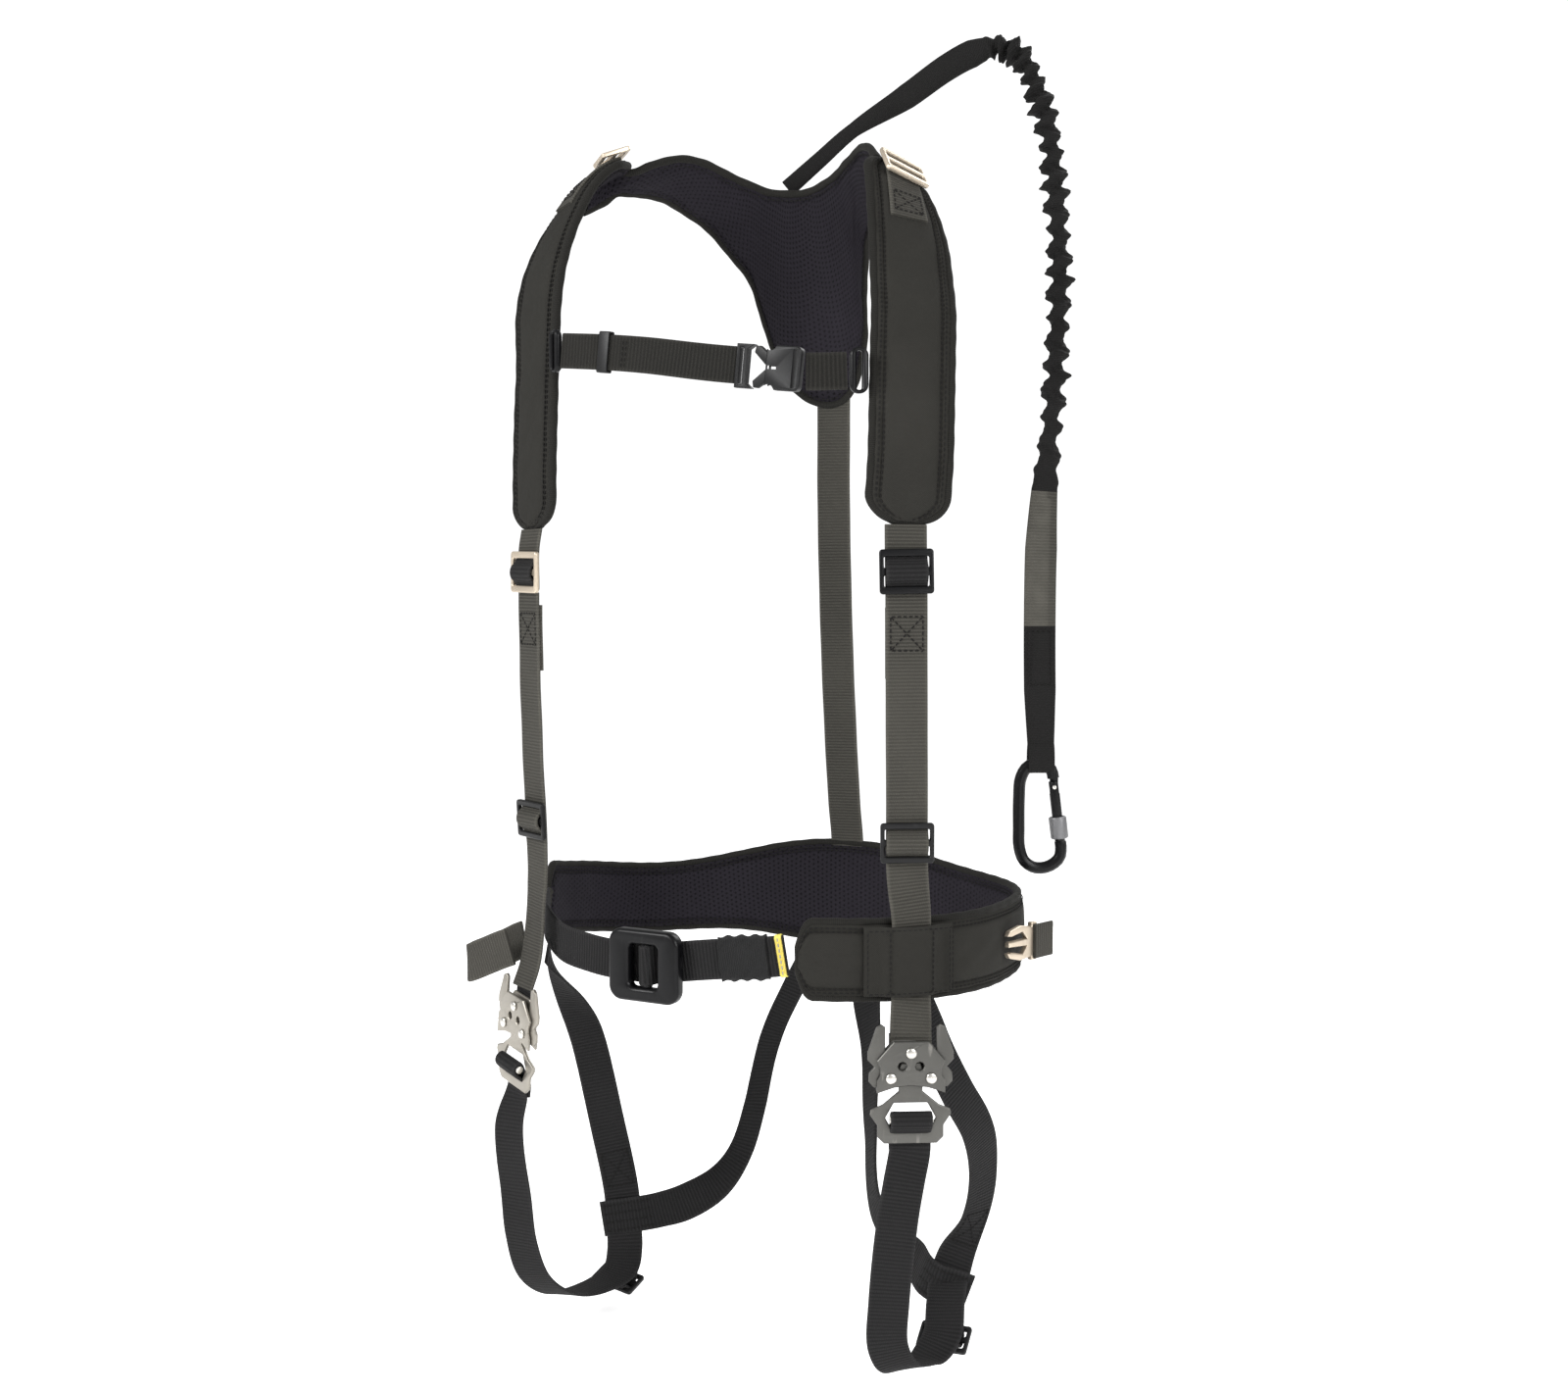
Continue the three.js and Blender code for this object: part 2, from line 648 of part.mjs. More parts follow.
// The catch half: a bar for the webbing, with a prong above and below that meets in the socket.
const catchThick = chestBuckleThick - 2 * chestWall - 0.8;
const catchStart = -21.5;
const catchBar = 7.4;
const catchShape = outline([
  [catchStart, -chestBuckleHeight / 2],
  [catchStart + catchBar + 4, -chestBuckleHeight / 2],
  [catchStart + catchBar, -chestBuckleHeight / 2 + 3],
  [catchStart + catchBar, chestBuckleHeight / 2 - 3],
  [catchStart + catchBar + 4, chestBuckleHeight / 2],
  [catchStart, chestBuckleHeight / 2],
]);
const catchSlot = movedHole(
  roundedRectangle(2.4, chestWebWidth, 0.8, THREE.Path),
  catchStart + 3.4,
  0,
);
add(chestBuckle, "chest_buckle_catch", plate(catchShape, [catchSlot], chestBuckleThick - 1, 0.5, 2), blackPlastic);
const prongRoot = chestBuckleHeight / 2 - 0.7;
for (const up of [1, -1]) {
  const prong = outline([
    [-9.6, up * (prongRoot - 0.1)],
    [-6.5, up * (prongRoot + 0.1)],
    [2, up * 6],
    [8.6, up * 9.5],
    [11.6, up * 7],
    [11, up * 3.6],
    [0.5, up * 1.3],
    [-3, up * 1.5],
    [-10.4, up * (prongRoot - 3.9)],
  ]);
  const name = up > 0 ? "chest_prong_upper" : "chest_prong_lower";
  const geometry = plate(prong, [], catchThick, 0.4);
  add(chestBuckle, name, geometry, blackPlastic);
}

// Rings that clip over the inner edge of each shoulder pad and carry the chest strap.
const ringOuter = { width: 11, height: 27 };
const ringInner = { width: 3.4, height: 22.8 };
const chestRings = [
  { name: "chest_slider_left", at: [102.5, -105, -148.6], across: [0.85, 0.5, 0], out: [0.5, -0.87, 0] },
  { name: "chest_slider_right", at: [-105, -104, -127], across: [0.87, -0.5, 0], out: [-0.5, -0.87, 0] },
];
for (const ring of chestRings) {
  const group = placed(
    new THREE.Vector3(...ring.at),
    new THREE.Vector3(...ring.across),
    new THREE.Vector3(...ring.out),
  );
  const window = roundedRectangle(ringInner.width, ringInner.height, 1.4, THREE.Path);
  const shape = roundedRectangle(ringOuter.width, ringOuter.height, 5);
  add(group, ring.name, plate(shape, [movedHole(window, 0, 0)], 4.4, 1, 4), blackMetal);
}
const chestKeeperSeat = frameOn(chestRightRoute, 0.24);
const chestKeeper = placed(
  chestKeeperSeat.origin,
  chestKeeperSeat.along,
  chestKeeperSeat.out.clone().negate(),
);
const chestKeeperBand = bandGeometry(8, chestWebWidth + 1, webThick + 1.2, 1.2);
add(chestKeeper, "chest_keeper", chestKeeperBand, blackPlastic);

// ---- Quick-connect leg buckles ----
const ringOfRivets = [
  [0, 10],
  [leverPivotX, leverPivotZ],
  [-leverPivotX, leverPivotZ],
];
const legOutline = [
  [-10.4, legPlateTop],
  [10.4, legPlateTop],
  [legPlateHalfWidth, 5.5],
  [18.4, 1],
  [18.4, -3.2],
  [legPlateHalfWidth, -6.5],
  [legPlateHalfWidth, -legPlateBottom],
];
const bottomArc = 9;
function legPlate(thickness, holes) {
  const shape = outline(legOutline);
  shape.quadraticCurveTo(0, -legPlateBottom + bottomArc, -legPlateHalfWidth, -legPlateBottom);
  shape.lineTo(-legPlateHalfWidth, -6.5);
  shape.lineTo(-18.4, -3.2);
  shape.lineTo(-18.4, 1);
  shape.lineTo(-legPlateHalfWidth, 5.5);
  shape.closePath();
  return plate(shape, holes, thickness, 0.5, 4);
}
function rivet(x, y, fromZ, toZ, headRadius) {
  const profile = [
    [0, fromZ],
    [rivetRadius, fromZ],
    [rivetRadius, toZ],
    [headRadius, toZ],
    [headRadius * 0.7, toZ + 0.9],
    [0, toZ + 1.1],
  ].map(([r, z]) => new THREE.Vector2(r, z));
  const geometry = new THREE.LatheGeometry(profile, 12);
  geometry.rotateX(Math.PI / 2);
  geometry.translate(x, y, 0);
  return geometry;
}
function leverOutline(side) {
  const inner = tongueHalfWidth + leverClearOfTongue;
  return outline([
    [side * 15.2, 25],
    [side * 17.5, 26.6],
    [side * 20.5, 25],
    [side * 25.6, 10],
    [side * 25.6, 5.5],
    [side * 21.6, 1.2],
    [side * 24.6, -2],
    [side * 25, -7.5],
    [side * 21.8, -11],
    [side * 14, -9.6],
    [side * inner, -9],
    [side * inner, 0],
    [side * 15.2, 6],
  ]);
}
function maleOutline() {
  const w = maleHalfWidth;
  return outline([
    [-5.6, 3.5],
    [5.6, 3.5],
    [tongueHalfWidth, 0],
    [tongueHalfWidth, -13.6],
    [w - 3, -21.5],
    [w + 4, -24.5],
    [w + 4.4, -27.5],
    [w, -34],
    [w, -maleBottom + 4],
    [w - 4, -maleBottom],
    [-w + 4, -maleBottom],
    [-w, -maleBottom + 4],
    [-w, -34],
    [-w - 4.4, -27.5],
    [-w - 4, -24.5],
    [-w + 3, -21.5],
    [-tongueHalfWidth, -13.6],
    [-tongueHalfWidth, 0],
  ]);
}
const maleWindowMid = (maleWindowTop + maleWindowBottom) / 2;
const maleWindow = [
  [-maleWindowHalfWidth, maleWindowMid],
  [-maleWindowHalfWidth + 5, maleWindowBottom],
  [maleWindowHalfWidth - 5, maleWindowBottom],
  [maleWindowHalfWidth, maleWindowMid],
  [maleWindowHalfWidth - 5, maleWindowTop],
  [-maleWindowHalfWidth + 5, maleWindowTop],
];
const legBuckles = {
  left: { at: [135, -101, -560], turn: strapTurn, lean: 0, look: gunmetal },
  right: { at: [-139, -101, -558], turn: -strapTurn, lean: -0.14, look: champagne },
};
for (const [side, buckle] of Object.entries(legBuckles)) {
  const across = new THREE.Vector3(Math.cos(buckle.turn), Math.sin(buckle.turn), 0);
  const out = new THREE.Vector3(Math.sin(buckle.turn), -Math.cos(buckle.turn), 0);
  across.applyAxisAngle(out, buckle.lean);
  const group = placed(new THREE.Vector3(...buckle.at), across, out);
  const name = (piece) => "leg_buckle_" + side + "_" + piece;
  const holes = ringOfRivets.map(([x, y]) => circleHole(x, y, rivetHole));
  const frontZ = legLayer / 2 + legPlay + legPlateThick / 2;
  const front = legPlate(legPlateThick, [...holes, circleHole(-5.2, 2, 2.7), circleHole(5.2, 2, 2.7)]);
  add(group, name("front_plate"), front, buckle.look).position.z = frontZ;
  let back = solid(legPlate(legPlateThick, [circleHole(-5.2, 2, 2.7), circleHole(5.2, 2, 2.7)]));
  for (const [x, y] of ringOfRivets) {
    const reach = 2 * frontZ + legPlateThick / 2 + gap;
    back = back.add(solid(rivet(x, y, 0, reach, 3.1)));
  }
  add(group, name("back_plate"), geometryOf(back), buckle.look).position.z = -frontZ;
  for (const hand of [1, -1]) {
    const leverHole = circleHole(hand * leverPivotX, leverPivotZ, rivetHole);
    const lever = plate(leverOutline(hand), [leverHole], legLayer, 0.4);
    const place = hand === Math.sign(buckle.turn) ? "lever_outer" : "lever_inner";
    add(group, name(place), lever, buckle.look);
  }
  const male = plate(maleOutline(), [outline(maleWindow, THREE.Path)], legLayer, 0.5);
  add(group, name("male_plate"), male, buckle.look);
  const bar = new THREE.CylinderGeometry(maleBarRadius, maleBarRadius, 2 * maleWindowHalfWidth - 4, 10);
  bar.rotateZ(Math.PI / 2);
  const barMesh = add(group, name("bar"), bar, steel);
  barMesh.position.set(0, maleWindowMid, legLayer / 2 + maleBarRadius + gap);
}

// ---- Leg straps ----
const outerLegLeft = [
  [130, -78, -527, 0.5, 0.8, 0],
  [136, -66, -552, 0.5, 0.8, 0],
  [146, -50, -585, 0.45, 0.88, 0],
  [152, -30, -612, 0.4, 0.9, 0],
  [150, -10, -642, 0.38, 0.92, 0],
  [141, 2, -680, 0.45, 0.88, 0],
  [129, 0, -708, 0.8, 0.58, 0],
  [125, -6, -716, 0.88, 0.45, 0.1],
];
const outerLegRight = [
  [-153, -42, -524, 0.3, -0.95, 0],
  [-153, -31, -541, 0.6, -0.5, 0],
  [-149, 0, -588, 0.9, 0.35, 0],
  [-138, 10, -652, 0.9, 0.4, 0],
  [-127, 12, -704, 0.9, 0.4, 0],
  [-125, 12, -722, 0.9, 0.4, 0],
];
const thighLeft = [
  [134.5, -102, -609, ...acrossPad],
  [132, -103, -628, ...acrossPad],
  [127, -102, -656, 0.9, 0.42, 0],
  [121, -99, -704, 0.9, 0.42, 0],
  [118, -93, -735, 0.9, 0.42, 0.05],
  [121, -80, -752, 0.92, 0.36, 0.15],
  [128, -60, -755, 0.92, 0.33, 0.25],
  [134, -42, -745, 0.93, 0.3, 0.2],
  [130, -24, -731, 0.93, 0.3, 0.15],
  [126, -10, -721, 0.92, 0.36, 0.1],
];
const thighRight = [
  [-145.4, -103, -606, 0.92, -0.3, -0.1],
  [-145, -104, -628, 0.95, -0.2, 0],
  [-141, -103, -672, 0.97, -0.1, 0],
  [-140, -98, -705, 0.97, -0.05, 0],
  [-138, -86, -734, 0.97, 0.1, 0],
  [-131, -62, -753, 0.95, 0.25, 0],
  [-122, -32, -757, 0.93, 0.35, 0],
  [-117, -8, -753, 0.92, 0.38, 0],
  [-121, 6, -742, 0.91, 0.4, 0],
  [-125, 11, -727, 0.9, 0.4, 0],
];
const seatLeft = [
  [23, 118, -538, 0.98, -0.1, 0],
  [23, 104, -564, 0.9, -0.3, 0],
  [34, 85, -597, 0.75, -0.6, 0],
  [45, 58, -650, 0.6, -0.75, 0],
  [60, 32, -697, 0.45, -0.5, 0.6],
  [84, 16, -712, 0.2, -0.1, 0.95],
  [101, 7, -718, 0.3, 0.2, 0.9],
];
const seatRight = [
  [-22, 118, -538, 0.9, -0.3, 0],
  [-34, 102, -567, 0.85, -0.45, 0],
  [-45, 85, -604, 0.85, -0.5, 0],
  [-46, 62, -646, 0.85, -0.5, 0],
  [-50, 46, -676, 0.8, -0.5, -0.2],
  [-62, 34, -696, 0.5, -0.4, -0.6],
  [-83, 25, -710, 0.15, -0.2, -0.95],
  [-107, 20, -719, 0.1, 0, -0.99],
];
add(vest, "outer_leg_strap_left", strip(outerLegLeft), webbing);
add(vest, "outer_leg_strap_right", strip(outerLegRight), webbing);
add(vest, "thigh_strap_left", strip(thighLeft.slice(1), 3), webbing);
add(vest, "thigh_strap_right", strip(thighRight.slice(1), 3), webbing);
add(vest, "seat_strap_left", strip(seatLeft), webbing);
add(vest, "seat_strap_right", strip(seatRight), webbing);

// Sliders on the leg loops, in front of the webbing that runs through them.
const legSliders = {
  left: { route: thighLeft, share: 0.79 },
  right: { route: thighRight, share: 0.76 },
};
for (const [side, slider] of Object.entries(legSliders)) {
  const seat = frameOn(slider.route, slider.share);
  const lift = webThick / 2 + slideThick / 2 + 6 * gap;
  const group = placed(seat.origin.addScaledVector(seat.out, lift), seat.across, seat.out);
  add(group, "leg_slider_" + side, slideFrame(slideWidth + 1, 3.4, 4.6, slideThick), blackPlastic);
}

// ---- Tether and carabiner ----
const tetherRoute = [
  [-22, 66, -2],
  [0, 70, 16],
  [23, 75, 35],
  [60, 80, 55],
  [87, 84, 72],
  [105, 86, 80],
  [123, 88, 83],
  [137, 89, 76],
  [147, 90, 57],
  [155, 90, 34],
  [160, 90, 5],
  [163, 90, -25],
  [165, 90, -57],
  [165, 90, -82],
  [164, 90, -107],
  [162, 90, -146],
  [159, 90, -180],
  [156, 90, -211],
  [154, 90, -250],
  [153.5, 90, -303],
  [154, 90, -345],
  [155, 90, -383],
];
const tetherSides = 10;
const tetherCurve = new THREE.CatmullRomCurve3(tetherRoute.map((p) => new THREE.Vector3(...p)));
const tetherShape = new THREE.Shape();
for (let k = 0; k < tetherSides; k++) {
  const angle = (2 * Math.PI * k) / tetherSides;
  const point = [tetherRadius * Math.cos(angle), tetherRadius * Math.sin(angle)];
  if (k === 0) {
    tetherShape.moveTo(...point);
  } else {
    tetherShape.lineTo(...point);
  }
}
const tetherTube = new THREE.ExtrudeGeometry(tetherShape, {
  steps: 44,
  extrudePath: tetherCurve,
  bevelEnabled: false,
});
add(vest, "tether", tetherTube, elastic);

const carabinerSeat = new THREE.Vector3(155, 90, -430);
const carabinerTurn = THREE.MathUtils.degToRad(25);
const carabiner = placed(
  carabinerSeat,
  new THREE.Vector3(Math.cos(carabinerTurn), Math.sin(carabinerTurn), 0),
  new THREE.Vector3(Math.sin(carabinerTurn), -Math.cos(carabinerTurn), 0),
);
const hingeAt = new THREE.Vector2(9, 19.5);
const noseAt = new THREE.Vector2(13.6, -17.5);
const gateLine = noseAt.clone().sub(hingeAt).normalize();
const carabinerPath = new THREE.CatmullRomCurve3(
  [
    [noseAt.x, noseAt.y],
    [noseAt.x + 5 * gateLine.x, noseAt.y + 5 * gateLine.y],
    [13, -29],
    [6, -34.5],
    [-3, -35.5],
    [-10.5, -31],
    [-14, -22],
    [-14.5, -8],
    [-14.5, 12],
    [-13.5, 25],
    [-9, 33],
    [-1, 36],
    [5.5, 33.5],
    [8.2, 28],
    [8.6, 25.5],
  ].map(([x, y]) => new THREE.Vector3(x, y, 0)),
);
const barShape = new THREE.Shape();
barShape.absarc(0, 0, carabinerBar, 0, 2 * Math.PI, false);
const barTube = new THREE.ExtrudeGeometry(barShape, {
  steps: 40,
  curveSegments: 5,
  extrudePath: carabinerPath,
  bevelEnabled: false,
});
const tangThick = 2.6;
const tang = new THREE.BoxGeometry(5.4, 10.5, tangThick);
tang.translate(hingeAt.x, hingeAt.y + 2.6, 0);
const pinHole = new THREE.CylinderGeometry(gatePinRadius + 0.2, gatePinRadius + 0.2, 20, 12);
pinHole.rotateX(Math.PI / 2);
pinHole.translate(hingeAt.x, hingeAt.y, 0);
const carabinerBody = solid(barTube).add(solid(tang)).subtract(solid(pinHole));
add(carabiner, "carabiner_body", geometryOf(carabinerBody), blackMetal);

const gateLength = hingeAt.distanceTo(noseAt);
const gateTop = 3.6;
const gateShaft = new THREE.CylinderGeometry(gateRadius, gateRadius, gateLength + gateTop - 0.5, 14);
gateShaft.translate(0, gateTop - (gateLength + gateTop - 0.5) / 2, 0);
const forkSlot = new THREE.BoxGeometry(2 * gateRadius + 2, gateTop + 6.5, tangThick + 0.8);
forkSlot.translate(0, (gateTop - 4.5) / 2 + 1, 0);
const gateHole = new THREE.CylinderGeometry(gatePinRadius + 0.2, gatePinRadius + 0.2, 20, 12);
gateHole.rotateX(Math.PI / 2);
const gateBody = solid(gateShaft).subtract(solid(forkSlot)).subtract(solid(gateHole));
const gateGroup = new THREE.Group();
gateGroup.position.set(hingeAt.x, hingeAt.y, 0);
gateGroup.rotation.z = Math.atan2(gateLine.x, -gateLine.y);
carabiner.add(gateGroup);
add(gateGroup, "carabiner_gate", geometryOf(gateBody), blackMetal);
const pin = new THREE.CylinderGeometry(gatePinRadius, gatePinRadius, 2 * gateRadius + 0.6, 12);
pin.rotateX(Math.PI / 2);
pin.translate(hingeAt.x, hingeAt.y, 0);
add(carabiner, "carabiner_gate_pin", pin, steel);
const sleeveProfile = [
  [gateRadius + gap, -sleeveLength / 2],
  [sleeveRadius - 0.6, -sleeveLength / 2],
  [sleeveRadius, -sleeveLength / 2 + 0.8],
  [sleeveRadius, sleeveLength / 2 - 0.8],
  [sleeveRadius - 0.6, sleeveLength / 2],
  [gateRadius + gap, sleeveLength / 2],
  [gateRadius + gap, -sleeveLength / 2],
].map(([r, y]) => new THREE.Vector2(r, y));
const sleeve = add(gateGroup, "carabiner_sleeve", new THREE.LatheGeometry(sleeveProfile, 18), greyElastic);
sleeve.position.y = -gateLength + sleeveLength / 2 + 2;

export default vest;
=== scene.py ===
"""Looks of a safety harness vest: padded yoke and belt, webbing, metal hardware and a tether.

Metres, in the part's own frame: the wearer faces -Y, the wearer's left is +X, +Z is up.
"""

import logging
import math
from dataclasses import dataclass
from enum import Enum
from typing import Iterable, Optional, Sequence, Union

import bmesh
import bpy
import numpy as np
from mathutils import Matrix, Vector


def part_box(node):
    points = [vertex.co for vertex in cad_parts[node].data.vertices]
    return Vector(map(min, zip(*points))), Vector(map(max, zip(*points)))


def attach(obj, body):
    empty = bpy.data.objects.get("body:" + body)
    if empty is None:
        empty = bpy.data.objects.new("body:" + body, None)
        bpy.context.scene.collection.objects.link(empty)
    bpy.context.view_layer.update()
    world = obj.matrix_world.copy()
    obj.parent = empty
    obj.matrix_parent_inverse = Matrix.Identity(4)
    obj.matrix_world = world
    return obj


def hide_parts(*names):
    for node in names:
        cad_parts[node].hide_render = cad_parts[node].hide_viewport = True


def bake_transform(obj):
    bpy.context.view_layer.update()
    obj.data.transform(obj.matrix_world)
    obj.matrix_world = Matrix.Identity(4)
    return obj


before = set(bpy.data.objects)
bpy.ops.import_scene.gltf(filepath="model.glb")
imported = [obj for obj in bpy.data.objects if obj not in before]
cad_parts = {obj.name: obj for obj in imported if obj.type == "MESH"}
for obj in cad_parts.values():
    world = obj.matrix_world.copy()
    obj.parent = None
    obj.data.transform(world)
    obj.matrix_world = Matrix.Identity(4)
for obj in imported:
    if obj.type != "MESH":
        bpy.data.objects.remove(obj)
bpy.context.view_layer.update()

LOG = logging.getLogger("harness")
Array = np.ndarray
Rgb = tuple[float, float, float]
Route = Sequence[Sequence[float]]

WEB = 0.025
WEB_THICK = 0.002
TURN = math.radians(28)
ACROSS = (math.cos(TURN), math.sin(TURN), 0.0)
ACROSS_RIGHT = (math.cos(TURN), -math.sin(TURN), 0.0)
CLOTH_UV = "cloth"
CLOTH_GLOSS = 0.12


class Side(Enum):
    """The wearer's side that a piece belongs to."""

    LEFT = 1
    RIGHT = -1

    @property
    def word(self) -> str:
        """The side's name as the nodes spell it."""
        return self.name.lower()


# ---------------------------------------------------------------- shader maths
Term = Union[float, "Wire"]


class Wire:
    """A number socket that adds Math nodes when it stands in an expression."""

    def __init__(self, tree: bpy.types.NodeTree, socket: bpy.types.NodeSocket) -> None:
        """Wraps a socket of a node tree."""
        self.tree = tree
        self.socket = socket

    def maths(self, operation: str, *terms: Term) -> "Wire":
        """Adds one Math node.

        Args:
            operation: the node's operation.
            terms: its inputs in order, sockets or numbers.

        Returns:
            The node's result.
        """
        node = self.tree.nodes.new("ShaderNodeMath")
        node.operation = operation
        for slot, term in zip(node.inputs, terms):
            if isinstance(term, Wire):
                self.tree.links.new(term.socket, slot)
            else:
                slot.default_value = term
        return Wire(self.tree, node.outputs[0])

    def __add__(self, other: Term) -> "Wire":
        """The sum."""
        return self.maths("ADD", self, other)

    def __radd__(self, other: Term) -> "Wire":
        """The sum, from the right."""
        return self.maths("ADD", other, self)

    def __sub__(self, other: Term) -> "Wire":
        """The difference."""
        return self.maths("SUBTRACT", self, other)

    def __rsub__(self, other: Term) -> "Wire":
        """The difference, from the right."""
        return self.maths("SUBTRACT", other, self)

    def __mul__(self, other: Term) -> "Wire":
        """The product."""
        return self.maths("MULTIPLY", self, other)

    def __rmul__(self, other: Term) -> "Wire":
        """The product, from the right."""
        return self.maths("MULTIPLY", other, self)

    def __truediv__(self, other: Term) -> "Wire":
        """The quotient."""
        return self.maths("DIVIDE", self, other)

    def __pow__(self, other: Term) -> "Wire":
        """The power."""
        return self.maths("POWER", self, other)

    def wave(self, pitch: float, shift: Term = 0.0) -> "Wire":
        """A wave from 0 to 1 that repeats every pitch: half of 1 + sin(2 pi x / pitch + shift)."""
        return self.maths("SINE", self * (2 * math.pi / pitch) + shift) * 0.5 + 0.5

    def size(self) -> "Wire":
        """The value without its sign."""
        return self.maths("ABSOLUTE", self)

    def step_of(self, pitch: float) -> "Wire":
        """The number of the whole pitch that the value is in."""
        return self.maths("FLOOR", self * (1 / pitch))

    def odd(self) -> "Wire":
        """1 for an odd whole number and 0 for an even one."""
        return self.maths("FLOORED_MODULO", self, 2.0)

    def between(self, low: float, high: float) -> "Wire":
        """Runs smoothly from 0 at low to 1 at high."""
        node = self.tree.nodes.new("ShaderNodeMapRange")
        node.interpolation_type = "SMOOTHSTEP"
        self.tree.links.new(self.socket, node.inputs["Value"])
        node.inputs["From Min"].default_value = low
        node.inputs["From Max"].default_value = high
        return Wire(self.tree, node.outputs["Result"])


class Shader:
    """One material's nodes, ending in a Principled shader."""

    def __init__(self, name: str) -> None:
        """Starts an empty material of that name."""
        self.material = bpy.data.materials.new("finish_" + name)
        self.material.use_nodes = True
        self.tree = self.material.node_tree
        self.tree.nodes.clear()

    def node(self, kind: str, settings: Optional[dict] = None, **inputs: object) -> bpy.types.Node:
        """Adds a node.

        Args:
            kind: the node's type.
            settings: properties that are set before its inputs.
            inputs: values or links by socket name, with _ for a space.

        Returns:
            The node.
        """
        made = self.tree.nodes.new(kind)
        for key, value in (settings or {}).items():
            setattr(made, key, value)
        for key, value in inputs.items():
            slot = made.inputs[key.replace("_", " ")]
            if isinstance(value, Wire):
                value = value.socket
            if isinstance(value, bpy.types.NodeSocket):
                self.tree.links.new(value, slot)
            else:
                slot.default_value = value
        return made

    def cloth(self) -> tuple[Wire, Wire]:
        """How far across and along the cloth a point is, in metres, from the piece's own map."""
        uv = self.node("ShaderNodeUVMap", {"uv_map": CLOTH_UV})
        parts = self.node("ShaderNodeSeparateXYZ", Vector=uv.outputs["UV"])
        return Wire(self.tree, parts.outputs["X"]), Wire(self.tree, parts.outputs["Y"])

    def noise(self, scale: float, detail: float = 3.0, stretch: Rgb = (1, 1, 1)) -> Wire:
        """Noise on the object's own coordinates.

        Args:
            scale: how many lumps a metre holds.
            detail: octaves.
            stretch: how much finer the noise is along each axis.

        Returns:
            A value about 0.5.
        """
        where = self.node("ShaderNodeTexCoord")
        turned = self.node("ShaderNodeMapping", Vector=where.outputs["Object"], Scale=stretch)
        made = self.node("ShaderNodeTexNoise", Vector=turned.outputs["Vector"], Scale=scale, Detail=detail)
        return Wire(self.tree, made.outputs["Fac"])

    def blend(self, share: Term, first: object, second: object) -> bpy.types.NodeSocket:
        """Mixes two colours by a share from 0 to 1."""
        made = self.node("ShaderNodeMix", {"data_type": "RGBA", "clamp_factor": True})
        slots = (made.inputs[0], made.inputs[6], made.inputs[7])
        for slot, value in zip(slots, (share, first, second)):
            if isinstance(value, Wire):
                value = value.socket
            if isinstance(value, bpy.types.NodeSocket):
                self.tree.links.new(value, slot)
            elif isinstance(value, tuple):
                slot.default_value = (*value, 1.0)
            else:
                slot.default_value = value
        return made.outputs[2]

    def bump(self, height: Wire, depth: float, strength: float = 1.0) -> bpy.types.NodeSocket:
        """A normal from a height of 0 to 1 that stands for that depth in metres."""
        made = self.node("ShaderNodeBump", Height=height, Distance=depth, Strength=strength)
        return made.outputs["Normal"]

    def finish(self, **inputs: object) -> bpy.types.Material:
        """Adds the Principled shader with those inputs and returns the material."""
        surface = self.node("ShaderNodeBsdfPrincipled", None, **inputs)
        output = self.node("ShaderNodeOutputMaterial")
        self.tree.links.new(surface.outputs[0], output.inputs[0])
        return self.material


class Look:
    """A finish that makes its material once."""

    name: str

    def build(self) -> bpy.types.Material:
        """Makes the material."""
        raise NotImplementedError

    def material(self) -> bpy.types.Material:
        """The finish's material, made on first use."""
        return bpy.data.materials.get("finish_" + self.name) or self.build()


def tint(colour: Rgb, share: float) -> Rgb:
    """The colour times a share."""
    return tuple(min(1.0, c * share) for c in colour)


@dataclass(frozen=True)
class Woven(Look):
    """Harness webbing: ribs across it, crossed by yarns that step half a yarn from rib to rib."""

    name: str
    colour: Rgb
    rib: float = 0.0021
    yarn: float = 0.0014
    width: float = WEB
    depth: float = 0.0005
    sheen: float = 0.02

    def build(self) -> bpy.types.Material:
        """Makes the webbing from its rib and yarn waves, with paler rubbed edges."""
        s = Shader(self.name)
        u, v = s.cloth()
        rib = v.wave(self.rib)
        yarn = u.wave(self.yarn, v.step_of(self.rib).odd() * math.pi)
        weave = rib * 0.62 + yarn * rib * 0.38
        cloud = s.noise(14.0, 4.0)
        fuzz = s.noise(1300.0, 2.0)
        rubbed = (u.size() - (self.width / 2 - 0.0026)).between(0.0, 0.0022) * s.noise(90.0, 4.0)
        base = s.blend(weave * 0.75 + fuzz * 0.25, tint(self.colour, 0.5), tint(self.colour, 1.45))
        aged = s.blend(cloud.between(0.35, 0.75) * 0.4, base, tint(self.colour, 1.5))
        worn = s.blend(rubbed * 0.55, aged, tint(self.colour, 2.6))
        return s.finish(
            Base_Color=worn,
            Roughness=0.78 + cloud * 0.14,
            Specular_IOR_Level=CLOTH_GLOSS,
            Sheen_Weight=self.sheen,
            Sheen_Roughness=0.45,
            Normal=s.bump(weave * 0.85 + fuzz * 0.15, self.depth),
        )


